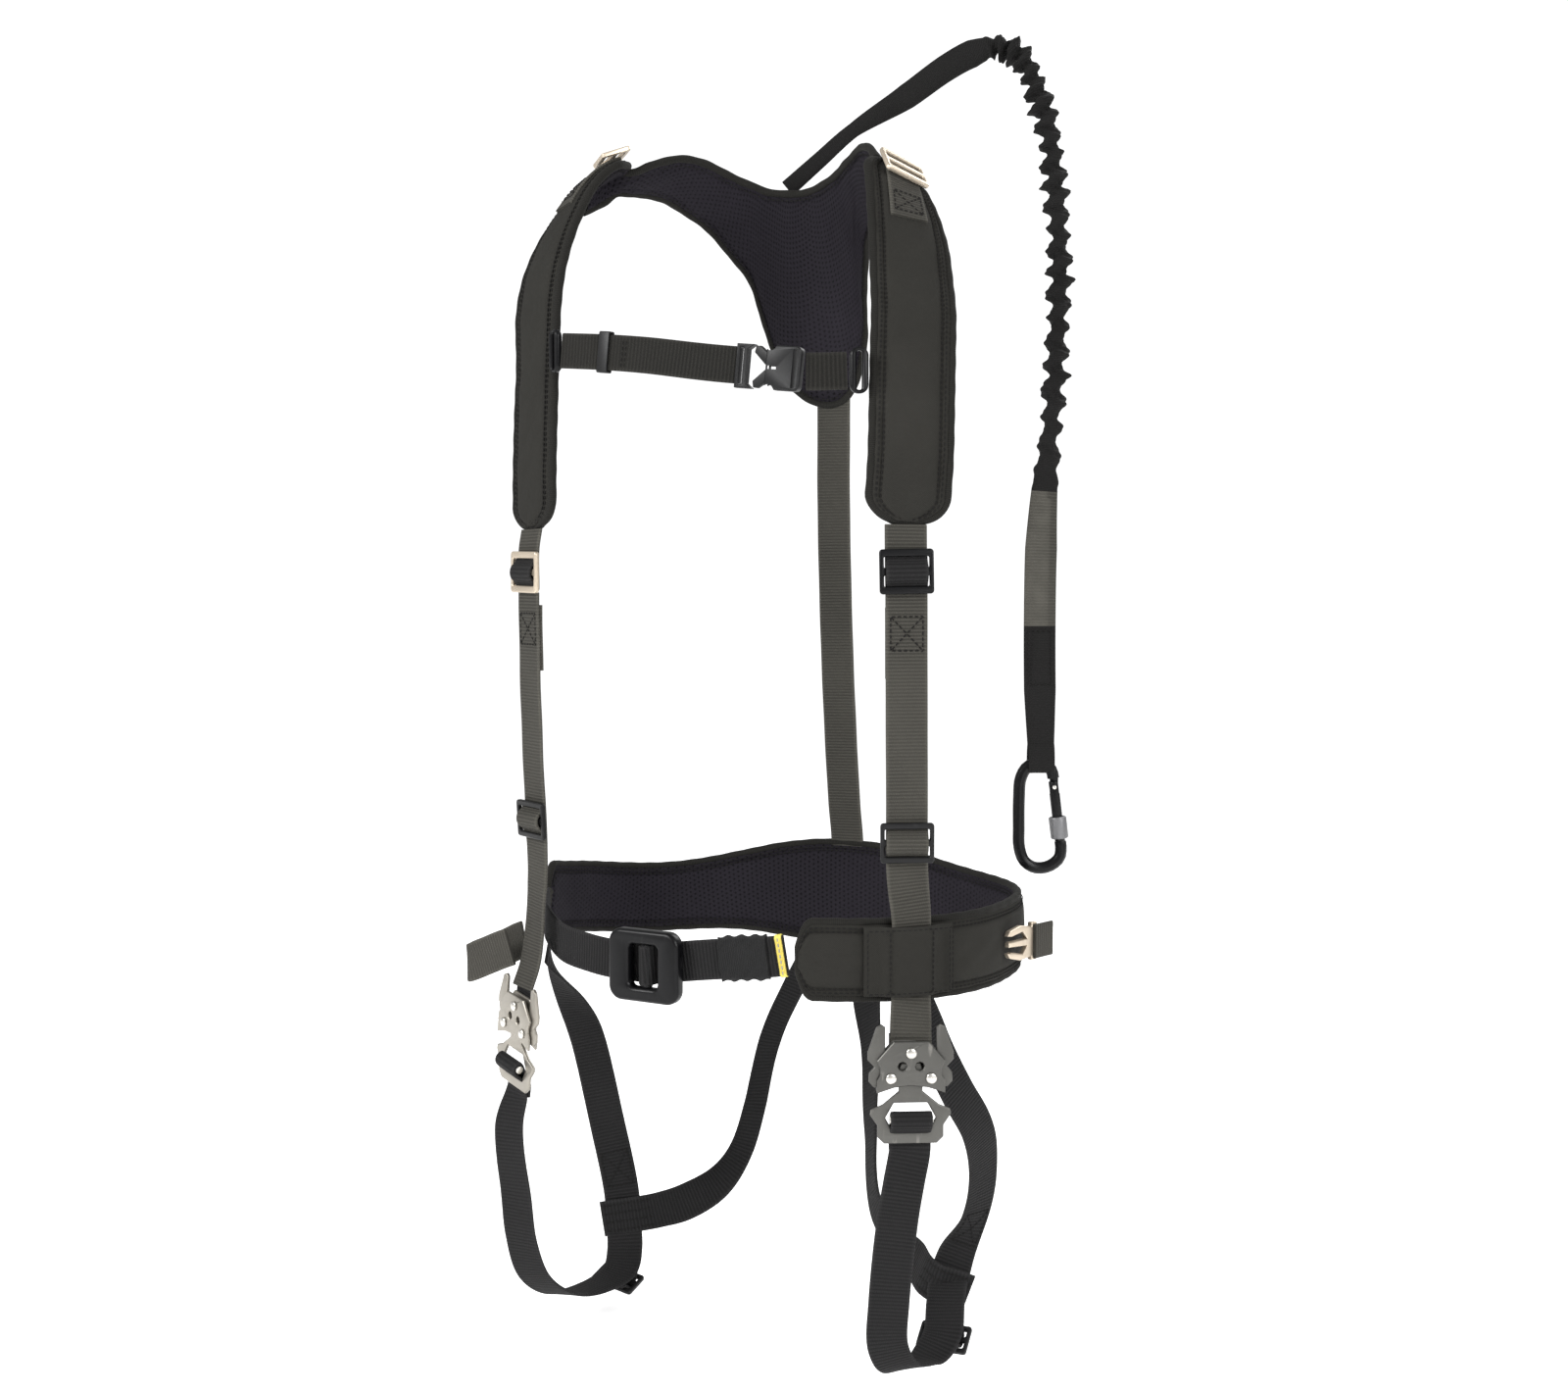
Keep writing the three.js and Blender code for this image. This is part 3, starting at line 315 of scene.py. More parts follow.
@dataclass(frozen=True)
class Canvas(Look):
    """Plain-woven pad cloth: two waves that cross, under soft creases."""

    name: str
    colour: Rgb
    thread: float = 0.0011
    depth: float = 0.00022
    crease: float = 0.0012

    def build(self) -> bpy.types.Material:
        """Makes the cloth."""
        s = Shader(self.name)
        u, v = s.cloth()
        over, under = u.wave(self.thread), v.wave(self.thread)
        weave = over * under + (1 - over) * (1 - under)
        crease = s.noise(46.0, 3.0, (1.0, 1.0, 0.45))
        cloud = s.noise(11.0, 3.0)
        fuzz = s.noise(1500.0, 2.0)
        base = s.blend(weave * 0.7 + fuzz * 0.3, tint(self.colour, 0.62), tint(self.colour, 1.35))
        aged = s.blend(cloud.between(0.4, 0.72) * 0.35, base, tint(self.colour, 1.7))
        soft = s.bump(crease, self.crease, 0.8)
        fine = s.node("ShaderNodeBump", Height=weave, Distance=self.depth, Normal=soft)
        return s.finish(
            Base_Color=aged,
            Roughness=0.84 + cloud * 0.1,
            Specular_IOR_Level=CLOTH_GLOSS,
            Normal=fine.outputs["Normal"],
        )


@dataclass(frozen=True)
class SpacerMesh(Look):
    """Knitted lining with rows of small open cells, each row half a cell on from the last."""

    name: str
    colour: Rgb
    cell: float = 0.0034

    def build(self) -> bpy.types.Material:
        """Makes the lining: a cell is open where both of its waves are high, and the open cells are painted
        dark as shade.
        """
        s = Shader(self.name)
        u, v = s.cloth()
        shift = v.step_of(self.cell).odd() * math.pi
        open_cell = (u.wave(self.cell, shift) * v.wave(self.cell, -math.pi / 2)).between(0.42, 0.8)
        fuzz = s.noise(1100.0, 3.0)
        cloud = s.noise(12.0, 3.0)
        base = s.blend(fuzz, tint(self.colour, 0.7), tint(self.colour, 1.6))
        # painted shade: the open cells are darkened to 0.18 of the lining's colour
        shaded_cells = s.blend(open_cell * 0.8, base, tint(self.colour, 0.18))
        aged = s.blend(cloud.between(0.4, 0.75) * 0.3, shaded_cells, tint(self.colour, 2.2))
        soft = s.bump(s.noise(34.0, 3.0), 0.0022, 0.8)
        fine = s.node("ShaderNodeBump", Height=1 - open_cell, Distance=0.0004, Normal=soft)
        return s.finish(
            Base_Color=aged,
            Roughness=0.9 + fuzz * 0.08,
            Specular_IOR_Level=CLOTH_GLOSS,
            Normal=fine.outputs["Normal"],
        )


@dataclass(frozen=True)
class CoatedMetal(Look):
    """Anodised or painted metal: a faint grain, cloudy gloss and small scuffs."""

    name: str
    colour: Rgb
    roughness: float = 0.36
    metallic: float = 0.8
    scuff: Rgb = (0.5, 0.48, 0.44)
    coat: float = 0.0
    gloss: float = 0.5

    def build(self) -> bpy.types.Material:
        """Makes the metal."""
        s = Shader(self.name)
        grain = s.noise(2200.0, 2.0)
        cloud = s.noise(35.0, 4.0)
        marks = s.noise(260.0, 6.0, (1.0, 1.0, 0.2)).between(0.63, 0.74)
        base = s.blend(cloud.between(0.3, 0.7), tint(self.colour, 0.88), tint(self.colour, 1.1))
        worn = s.blend(marks * 0.3, base, self.scuff)
        return s.finish(
            Base_Color=worn,
            Metallic=self.metallic,
            Roughness=self.roughness + cloud * 0.12 + marks * 0.12,
            Specular_IOR_Level=self.gloss,
            Coat_Weight=self.coat,
            Coat_Roughness=0.15,
            Normal=s.bump(grain * 0.6 + cloud * 0.4, 0.00003),
        )


@dataclass(frozen=True)
class Moulded(Look):
    """Moulded plastic with a fine spark-eroded grain."""

    name: str
    colour: Rgb
    roughness: float = 0.4

    def build(self) -> bpy.types.Material:
        """Makes the plastic."""
        s = Shader(self.name)
        grain = s.noise(2600.0, 2.0)
        cloud = s.noise(60.0, 3.0)
        rub = s.noise(180.0, 5.0).between(0.6, 0.75)
        base = s.blend(cloud, tint(self.colour, 0.8), tint(self.colour, 1.3))
        worn = s.blend(rub * 0.25, base, tint(self.colour, 4.0))
        return s.finish(
            Base_Color=worn,
            Roughness=self.roughness + cloud * 0.15,
            Specular_IOR_Level=0.22,
            Normal=s.bump(grain, 0.00004),
        )


WEBBING = Woven("webbing_olive", (0.042, 0.040, 0.0345))
WEBBING_DARK = Woven("webbing_black", (0.0125, 0.0122, 0.0125), rib=0.0024)
CHEST_WEBBING = Woven("webbing_chest", (0.014, 0.0134, 0.0118), rib=0.0026, width=0.022, depth=0.0007)
BINDING = Woven("binding_tape", (0.0125, 0.012, 0.0105), rib=0.0012, yarn=0.0012, depth=0.0002, width=0.02)
PAD_CLOTH = Canvas("pad_cloth", (0.0195, 0.0188, 0.0165))
LINING = SpacerMesh("lining_mesh", (0.0105, 0.0092, 0.0122))
ELASTIC = Woven("elastic_cover", (0.0085, 0.0082, 0.008), rib=0.0011, yarn=0.0011, depth=0.00025, width=0.06)
GREY_BAND = Woven("grey_elastic", (0.014, 0.014, 0.0142), rib=0.0012, yarn=0.0016, depth=0.0003, width=0.027)
TAG = Woven("yellow_tag", (0.52, 0.42, 0.09), rib=0.001, yarn=0.001, depth=0.0002)
THREAD = Canvas("thread", (0.012, 0.0115, 0.011), thread=0.0004, crease=0.0001)
PALE_THREAD = Canvas("pale_thread", (0.30, 0.29, 0.27), thread=0.0004, crease=0.0001)
CHAMPAGNE = CoatedMetal("champagne_metal", (0.56, 0.48, 0.38), 0.34, 0.75, (0.74, 0.68, 0.58))
SILVER = CoatedMetal("pale_plate", (0.30, 0.28, 0.245), 0.34, 0.85, (0.6, 0.57, 0.52))
GUNMETAL = CoatedMetal("gunmetal", (0.095, 0.093, 0.086), 0.38, 0.75, (0.4, 0.38, 0.35))
BLACK_METAL = CoatedMetal("black_metal", (0.0025, 0.0025, 0.003), 0.26, 0.0, (0.02, 0.02, 0.02), 0.0, 0.18)
STEEL = CoatedMetal("bright_steel", (0.62, 0.60, 0.56), 0.24, 0.95, (0.8, 0.79, 0.76))
GREY_METAL = CoatedMetal("grey_sleeve", (0.16, 0.16, 0.165), 0.38, 0.6)
PLASTIC = Moulded("black_plastic", (0.006, 0.006, 0.0064), 0.34)


# ---------------------------------------------------------------- surfaces
def unit(vectors: Array) -> Array:
    """Each row scaled to length one."""
    return vectors / np.maximum(np.linalg.norm(vectors, axis=-1, keepdims=True), 1e-12)


def smooth_line(points: Array, t: Array, even: bool = False) -> Array:
    """A centripetal Catmull-Rom line: between two points a cubic whose end slopes come from
    the neighbours, weighed by the square root of the distances.

    Args:
        points: the points, one row each.
        t: places from 0 to 1, in even shares of the spans.
        even: whether every span weighs the same.

    Returns:
        One row for each place.
    """
    ends = np.vstack([2 * points[0] - points[1], points, 2 * points[-1] - points[-2]])
    place = np.clip(t, 0, 1) * (len(points) - 1)
    span = np.minimum(place.astype(int), len(points) - 2)
    w = (place - span)[:, None]
    p0, p1, p2, p3 = (ends[span + k] for k in range(4))
    gaps = [np.sqrt(np.linalg.norm(b - a, axis=1, keepdims=True)) for a, b in ((p0, p1), (p1, p2), (p2, p3))]
    gaps = [np.ones_like(g) for g in gaps] if even else gaps
    d1 = np.where(gaps[1] < 1e-4, 1.0, gaps[1])
    d0 = np.where(gaps[0] < 1e-4, d1, gaps[0])
    d2 = np.where(gaps[2] < 1e-4, d1, gaps[2])
    m1 = ((p1 - p0) / d0 - (p2 - p0) / (d0 + d1) + (p2 - p1) / d1) * d1
    m2 = ((p2 - p1) / d1 - (p3 - p1) / (d1 + d2) + (p3 - p2) / d2) * d1
    return p1 + m1 * w + (3 * (p2 - p1) - 2 * m1 - m2) * w**2 + (2 * (p1 - p2) + m1 + m2) * w**3


@dataclass
class Path:
    """A line with a frame at each of its points: across, along and out of the face."""

    centre: Array
    across: Array
    along: Array
    out: Array
    length: Array
    width: Array

    @classmethod
    def through(cls, route: Route, spacing: float = 0.002) -> "Path":
        """A path through a route's points.

        Args:
            route: rows of x, y, z, across x, y, z and, where it isn't webbing's, the width.
            spacing: the distance between the path's points.

        Returns:
            The path, in even steps.
        """
        rows = np.array([list(p[:6]) + [p[6] if len(p) > 6 else WEB] for p in route], float)
        t = np.linspace(0, 1, 80 * (len(rows) - 1) + 1)
        fine = smooth_line(rows[:, :3], t)
        run = np.concatenate([[0], np.cumsum(np.linalg.norm(np.diff(fine, axis=0), axis=1))])
        even = np.linspace(0, run[-1], max(3, int(run[-1] / spacing) + 1))
        places = np.interp(even, run, t)
        centre = smooth_line(rows[:, :3], places)
        across = smooth_line(rows[:, 3:6], places)
        width = smooth_line(rows[:, 6:7], places, even=True)[:, 0]
        return cls.framed(centre, across, width)

    @classmethod
    def framed(cls, centre: Array, across: Array, width: Union[Array, float] = WEB) -> "Path":
        """A path from its points and across directions, which are made square to the line."""
        along = unit(np.gradient(centre, axis=0))
        across = unit(across - along * np.sum(across * along, axis=1, keepdims=True))
        steps = np.linalg.norm(np.diff(centre, axis=0), axis=1)
        length = np.concatenate([[0], np.cumsum(steps)])
        widths = np.broadcast_to(width, length.shape).astype(float)
        return cls(centre, across, along, np.cross(along, across), length, widths)

    @classmethod
    def edged(cls, centre: Array, out: Array) -> "Path":
        """A path from its points and their outward directions."""
        along = unit(np.gradient(centre, axis=0))
        return cls.framed(centre, np.cross(out, along))

    def part(self, start: float, end: float, spacing: float = 0.002) -> "Path":
        """The stretch between two lengths along the path."""
        s = np.linspace(start, end, max(3, int((end - start) / spacing) + 1))
        pick = lambda a: np.stack([np.interp(s, self.length, a[:, k]) for k in range(3)], axis=1)
        return Path.framed(pick(self.centre), pick(self.across), np.interp(s, self.length, self.width))

    def raised(self, height: Union[float, Array]) -> "Path":
        """The path moved out of its face by a height."""
        lift = np.broadcast_to(height, self.length.shape)[:, None]
        return Path.framed(self.centre + self.out * lift, self.across, self.width)

    def at(self, u: Array, s: Array, height: float) -> tuple[Array, Array]:
        """Places on the path's face.

        Args:
            u: how far across.
            s: how far along.
            height: how far out.

        Returns:
            The points and their outward directions.
        """
        pick = lambda a: np.stack([np.interp(s, self.length, a[:, k]) for k in range(3)], axis=1)
        out = unit(pick(self.out))
        return pick(self.centre) + unit(pick(self.across)) * u[:, None] + out * height, out


@dataclass
class Shell:
    """A closed surface: its points, faces, cloth map and each face's finish number."""

    points: Array
    faces: list
    cloth: Array
    finish: Array


def carry(path: Path, u: Array, h: Array, closed_ends: bool = True, looks: Optional[Array] = None) -> Shell:
    """Carries a closed section along a path: point = centre + across * u + out * h.

    Args:
        path: the path.
        u: how far across each corner is, as one row or a row for each path point.
        h: how far out each corner is, likewise.
        closed_ends: whether both ends get a face.
        looks: the finish number of the strip that starts at each corner.

    Returns:
        The shell, with its cloth map in metres across and along.
    """
    n, k = len(path.length), np.shape(u)[-1]
    u = np.broadcast_to(u, (n, k))
    h = np.broadcast_to(h, (n, k))
    points = path.centre[:, None] + path.across[:, None] * u[..., None] + path.out[:, None] * h[..., None]
    row, corner = np.meshgrid(np.arange(n - 1), np.arange(k), indexing="ij")
    a, b = row * k + corner, row * k + (corner + 1) % k
    faces = np.stack([a, b, b + k, a + k], axis=-1).reshape(-1, 4).tolist()
    numbers = np.zeros(k, int) if looks is None else looks
    finish = np.tile(numbers, n - 1)
    if closed_ends:
        faces += [list(range(k))[::-1], list(range((n - 1) * k, n * k))]
        finish = np.concatenate([finish, [0, 0]])
    cloth = np.stack([u, np.broadcast_to(path.length[:, None], (n, k))], axis=-1)
    return Shell(points.reshape(-1, 3), faces, cloth.reshape(-1, 2), finish)


def web_section(width: float = WEB, thick: float = WEB_THICK) -> tuple[Array, Array]:
    """Webbing's section: flat faces, round edges and a slightly thicker selvedge."""
    r = thick / 2
    turn = np.linspace(-math.pi / 2, math.pi / 2, 7)
    flat = np.linspace(-width / 2 + r, width / 2 - r, 13)[1:-1]
    bow = width / 2 - r + r * np.cos(turn)
    u = np.concatenate([flat, bow, flat[::-1], -bow])
    h = np.concatenate([np.full(11, -r), r * np.sin(turn), np.full(11, r), -r * np.sin(turn)])
    return u, h * (1 + 0.14 * np.exp(-(((np.abs(u) - width / 2 + 0.0022) / 0.001) ** 2)))


def web(path: Path, width: float = WEB, thick: float = WEB_THICK) -> Shell:
    """Webbing along a path, with a slow waver of its edges of a few tenths of a millimetre."""
    u, h = web_section(width, thick)
    waver = 0.00016 * np.sin(path.length * 130)[:, None] * (2 * u / width) ** 2
    return carry(path, u, h + waver)


def oval(a: Union[float, Array], b: Union[float, Array], sides: int = 12) -> tuple[Array, Array]:
    """An oval section: across a cos(w), out b sin(w)."""
    w = np.linspace(0, 2 * math.pi, sides, endpoint=False)
    return np.multiply.outer(a, np.cos(w)), np.multiply.outer(b, np.sin(w))


def thread_line(
    points: Array, out: Array, pitch: float = 0.0034, long: float = 0.0025, fat: float = 0.00042
) -> Shell:
    """A row of stitches: small lozenges at even steps along a line.

    Args:
        points: the line's points.
        out: the outward direction at each point.
        pitch: the distance from stitch to stitch.
        long: a stitch's length.
        fat: a stitch's half thickness.

    Returns:
        All stitches as one shell.
    """
    run = np.concatenate([[0], np.cumsum(np.linalg.norm(np.diff(points, axis=0), axis=1))])
    s = np.arange(pitch / 2, run[-1], pitch)
    pick = lambda a: np.stack([np.interp(s, run, a[:, k]) for k in range(3)], axis=1)
    centre, up = pick(points), unit(pick(out))
    along = unit(pick(np.gradient(points, axis=0)))
    across = unit(np.cross(up, along))
    phi = np.radians([14, 58, 122, 166])
    w = np.linspace(0, 2 * math.pi, 6, endpoint=False)
    x = np.repeat(np.cos(phi) * long / 2, 6)
    y = np.outer(np.sin(phi), np.cos(w)).ravel() * fat * 1.3
    z = np.outer(np.sin(phi), np.sin(w)).ravel() * fat
    body = sum(side[:, None] * size[None, :, None] for side, size in ((along, x), (across, y), (up, z)))
    points = (centre[:, None] + body).reshape(-1, 3)
    ring = [(k, (k + 1) % 6) for k in range(6)]
    one = [[r * 6 + k, r * 6 + j, r * 6 + 6 + j, r * 6 + 6 + k] for r in range(3) for k, j in ring]
    one += [list(range(6))[::-1], list(range(18, 24))]
    faces = [[i + 24 * n for i in face] for n in range(len(s)) for face in one]
    return Shell(points, faces, points[:, :2] * 1.0, np.zeros(len(faces), int))


def corners_line(corners: Sequence[tuple[float, float]], step: float = 0.001) -> Array:
    """Points a step apart along straight lines through the corners."""
    ends = np.array(corners, float)
    run = np.concatenate([[0], np.cumsum(np.linalg.norm(np.diff(ends, axis=0), axis=1))])
    s = np.arange(0, run[-1] + step, step)
    return np.stack([np.interp(s, run, ends[:, k]) for k in range(2)], axis=1)


def sewn(path: Path, corners: Sequence[tuple[float, float]], height: float, **sizes: float) -> Shell:
    """Stitches along lines drawn on a path's face, in metres across and along."""
    line = corners_line(corners)
    return thread_line(*path.at(line[:, 0], line[:, 1], height), **sizes)


def box_stitch(path: Path, start: float, end: float, height: float, width: float = 0.019) -> list[Shell]:
    """A sewn box with a cross in it, between two lengths along a path."""
    w = width / 2
    ring = [(-w, start), (w, start), (w, end), (-w, end), (-w, start)]
    lines = [ring, [(-w, start), (w, end)], [(w, start), (-w, end)]]
    return [sewn(path, line, height) for line in lines]


@dataclass(frozen=True)
class Bend:
    """The second body of a cloth that crosses a joint, and the points where the bend runs."""

    body: str
    start: tuple[float, float, float]
    end: tuple[float, float, float]


def make(
    name: str,
    shells: Iterable[Shell],
    looks: Sequence[Look],
    body: str,
    replaces: Sequence[str] = (),
    crease: float = 40.0,
    bend: Optional[Bend] = None,
) -> bpy.types.Object:
    """Makes one piece from its shells.

    Args:
        name: the piece's name.
        shells: its closed surfaces.
        looks: its finishes, in the order of the shells' finish numbers.
        body: the body that it moves with.
        replaces: the nodes that it stands for.
        crease: the angle, in degrees, past which an edge stays sharp.
        bend: the other body of a cloth that crosses a joint; where one is given, the piece keeps its place
            and is attached to no body.

    Returns:
        The piece.
    """
    shells = list(shells)
    starts = np.cumsum([0] + [len(s.points) for s in shells])
    faces = [[i + start for i in face] for s, start in zip(shells, starts.tolist()) for face in s.faces]
    mesh = bpy.data.meshes.new(name)
    mesh.from_pydata(np.vstack([s.points for s in shells]).tolist(), [], faces)
    mesh.polygons.foreach_set("material_index", np.concatenate([s.finish for s in shells]).astype(np.int32))
    corner = np.empty(len(mesh.loops), np.int32)
    mesh.loops.foreach_get("vertex_index", corner)
    cloth = np.vstack([s.cloth for s in shells])[corner]
    mesh.uv_layers.new(name=CLOTH_UV).data.foreach_set("uv", cloth.astype(np.float32).ravel())
    work = bmesh.new()
    work.from_mesh(mesh)
    bmesh.ops.recalc_face_normals(work, faces=work.faces)
    work.to_mesh(mesh)
    work.free()
    mesh.shade_smooth()
    mesh.set_sharp_from_angle(angle=math.radians(crease))
    for look in looks:
        mesh.materials.append(look.material())
    piece = bpy.data.objects.new(name, mesh)
    bpy.context.collection.objects.link(piece)
    if bend:
        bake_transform(piece)
    else:
        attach(piece, body)
    if replaces:
        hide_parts(*replaces)
    LOG.info("%s: %d faces", name, len(mesh.polygons))
    return piece


def polished(node: str, look: Look, body: str, round_edge: float = 0.0004) -> bpy.types.Object:
    """A copy of a rigid node with its doubles merged and its edges eased, standing for the node.

    Args:
        node: the node.
        look: its finish.
        body: the body that it moves with.
        round_edge: the width of the eased edge.

    Returns:
        The piece.
    """
    mesh = bpy.data.meshes.new(node + "_metal")
    work = bmesh.new()
    work.from_mesh(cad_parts[node].data)
    bmesh.ops.remove_doubles(work, verts=work.verts, dist=1e-6)
    bmesh.ops.dissolve_limit(work, angle_limit=math.radians(0.5), verts=work.verts, edges=work.edges)
    bmesh.ops.recalc_face_normals(work, faces=work.faces)
    work.to_mesh(mesh)
    work.free()
    mesh.materials.clear()
    mesh.materials.append(look.material())
    mesh.shade_smooth()
    piece = bpy.data.objects.new(node + "_look", mesh)
    bpy.context.collection.objects.link(piece)
    piece.matrix_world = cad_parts[node].matrix_world
    ease = piece.modifiers.new("eased_edges", "BEVEL")
    ease.width, ease.segments, ease.limit_method = round_edge, 2, "ANGLE"
    ease.angle_limit = math.radians(28)
    ease.harden_normals = True
    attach(piece, body)
    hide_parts(node)
    LOG.info("%s eased", node)
    return piece


def strap(
    name: str,
    path: Path,
    look: Look,
    node: str = "",
    body: str = "root",
    width: float = WEB,
    bend: Optional[Bend] = None,
) -> bpy.types.Object:
    """A strap of webbing along a path, standing for a node where one is named."""
    return make(name, [web(path, width)], [look], body, [node] if node else [], bend=bend)


def cushion(name: str, shell: Shell, node: str) -> None:
    """A padded piece of cloth and lining."""
    make(name, [shell], [PAD_CLOTH, LINING], "root", [node])


def mirrored(route: Route) -> list[tuple]:
    """A route seen in a mirror on the plane x = 0, with its across direction kept."""
    return [(-p[0], p[1], p[2], p[3], -p[4], -p[5], *p[6:]) for p in route]


def sided(route: Route, side: Side) -> Route:
    """A left-hand route, or its mirror image for the right."""
    return route if side is Side.LEFT else mirrored(route)


def end_share(path: Path, taper: float, both: bool = True) -> Array:
    """The share of the width left near a rounded end: a quarter circle of the taper's length."""
    left = path.length[-1] - path.length
    near = np.minimum(path.length, left) if both else left
    return np.maximum(0.3, np.sqrt(1 - np.maximum(0, 1 - near / taper) ** 2))


@dataclass
class PadShape:
    """How a pad is stuffed and sewn.

    Attributes:
        thick: the greatest thickness.
        inset: the distance of the sewn channel from the edge.
        dip: the channel's depth.
        ruck: the height of its soft lumps.
        taper: the length of its rounded ends, or 0.
        outside: 1 where the path's own outward side is the cloth side, or -1.
    """

    thick: float
    inset: float = 0.0055
    dip: float = 0.0012
    ruck: float = 0.0005
    taper: float = 0.0
    outside: int = 1

    def half(self, path: Path) -> Array:
        """Half the pad's width along the path."""
        return path.width / 2 * (end_share(path, self.taper) if self.taper else 1.0)

    def shell(self, path: Path) -> Shell:
        """The pad: each face stands out by thick / 2 * (1 - |q| ** 3) ** 0.5 at a share q of the
        half width, less a Gaussian channel along the edge, plus slow sine lumps."""
        q = np.sin(np.linspace(-math.pi / 2, math.pi / 2, 31))
        share = np.concatenate([q, q[-2:0:-1]])
        face = np.concatenate([np.ones(31), -np.ones(29)])
        half = self.half(path)[:, None]
        u = share * half
        s = path.length[:, None]
        rim = np.sqrt(1 - np.abs(share) ** 3)
        channel = self.dip * np.exp(-(((half - np.abs(u) - self.inset) / 0.0011) ** 2))
        lump = np.sin(s * 190 + 2.2 * np.sin(u * 150)) * np.sin(u * 120 + s * 47 + 1.3)
        h = face * (self.thick / 2 * rim - channel) + face * self.ruck * lump * rim
        looks = (face * self.outside < 0).astype(int)
        return carry(path, u, h, True, looks)

    def edge(self, path: Path) -> tuple[Array, Array]:
        """The pad's outline down one edge and back up the other, with outward directions."""
        half = self.half(path)[:, None]
        points = np.vstack([path.centre - path.across * half, (path.centre + path.across * half)[::-1]])
        return points, np.vstack([path.out, path.out[::-1]])

    def seams(self, path: Path, inset: Optional[float] = None) -> list[Shell]:
        """Stitches in the channel, on both faces and along both edges."""
        far = self.half(path) - (self.inset if inset is None else inset)
        keep = far > 0.002
        made = []
        for face in (1, -1):
            for edge in (1, -1):
                points, out = path.at(edge * far[keep], path.length[keep], face * (self.thick / 2 - self.dip))
                made.append(thread_line(points, out * face))
        return made


def folded(path: Path, middle: float, top: float, foot: float = 0.0014) -> Shell:
    """Webbing that comes up through one window, over the bar and down through the other."""
    steps = np.array([-0.0095, -0.0072, -0.0052, -0.0032, 0, 0.0032, 0.0052, 0.0072, 0.0095])
    share = np.array([0.0, 0.12, 0.42, 0.84, 1.0, 0.84, 0.42, 0.12, 0.0])
    centre, out = path.at(np.zeros(9), middle + steps, 0.0)
    s = np.linspace(0, 1, 40)
    line = smooth_line(centre + out * (foot + (top - foot) * share)[:, None], s)
    edge, _ = path.at(np.array([0.0, 0.001]), np.array([middle, middle]), 0.0)
    side = unit(edge[1] - edge[0])
    return web(Path.framed(line, np.tile(side, (40, 1))))


def even_line(points: Array, out: Array, spacing: float = 0.0022) -> tuple[Array, Array]:
    """A line and its outward directions at even steps."""
    run = np.concatenate([[0], np.cumsum(np.linalg.norm(np.diff(points, axis=0), axis=1))])
    s = np.linspace(0, run[-1], max(3, int(run[-1] / spacing)))
    pick = lambda a: np.stack([np.interp(s, run, a[:, k]) for k in range(3)], axis=1)
    return pick(points), unit(pick(out))


def bound_edge(points: Array, out: Array, wide: float, thick: float) -> Shell:
    """Binding tape folded round an edge: an oval of those half sizes carried along it."""
    path = Path.edged(*even_line(points, out))
    swell = 1 + 0.05 * np.sin(path.length * 400)
    return carry(path, *oval(wide * swell, thick * swell, 14))


# ---------------------------------------------------------------- sub-assemblies
PAD_WIDTH = 0.046
CHEST_WEB = 0.022
TETHER_ROUTE = [
    (-0.022, 0.066, -0.002),
    (0, 0.07, 0.016),
    (0.023, 0.075, 0.035),
    (0.06, 0.08, 0.055),
    (0.087, 0.084, 0.072),
    (0.105, 0.086, 0.08),
    (0.123, 0.088, 0.083),
    (0.137, 0.089, 0.076),
    (0.147, 0.09, 0.057),
    (0.155, 0.09, 0.034),
    (0.16, 0.09, 0.005),
    (0.163, 0.09, -0.025),
    (0.165, 0.09, -0.057),
    (0.165, 0.09, -0.082),
    (0.164, 0.09, -0.107),
    (0.162, 0.09, -0.146),
    (0.159, 0.09, -0.18),
    (0.156, 0.09, -0.211),
    (0.154, 0.09, -0.25),
    (0.1535, 0.09, -0.303),
    (0.154, 0.09, -0.345),
    (0.155, 0.09, -0.383),
]


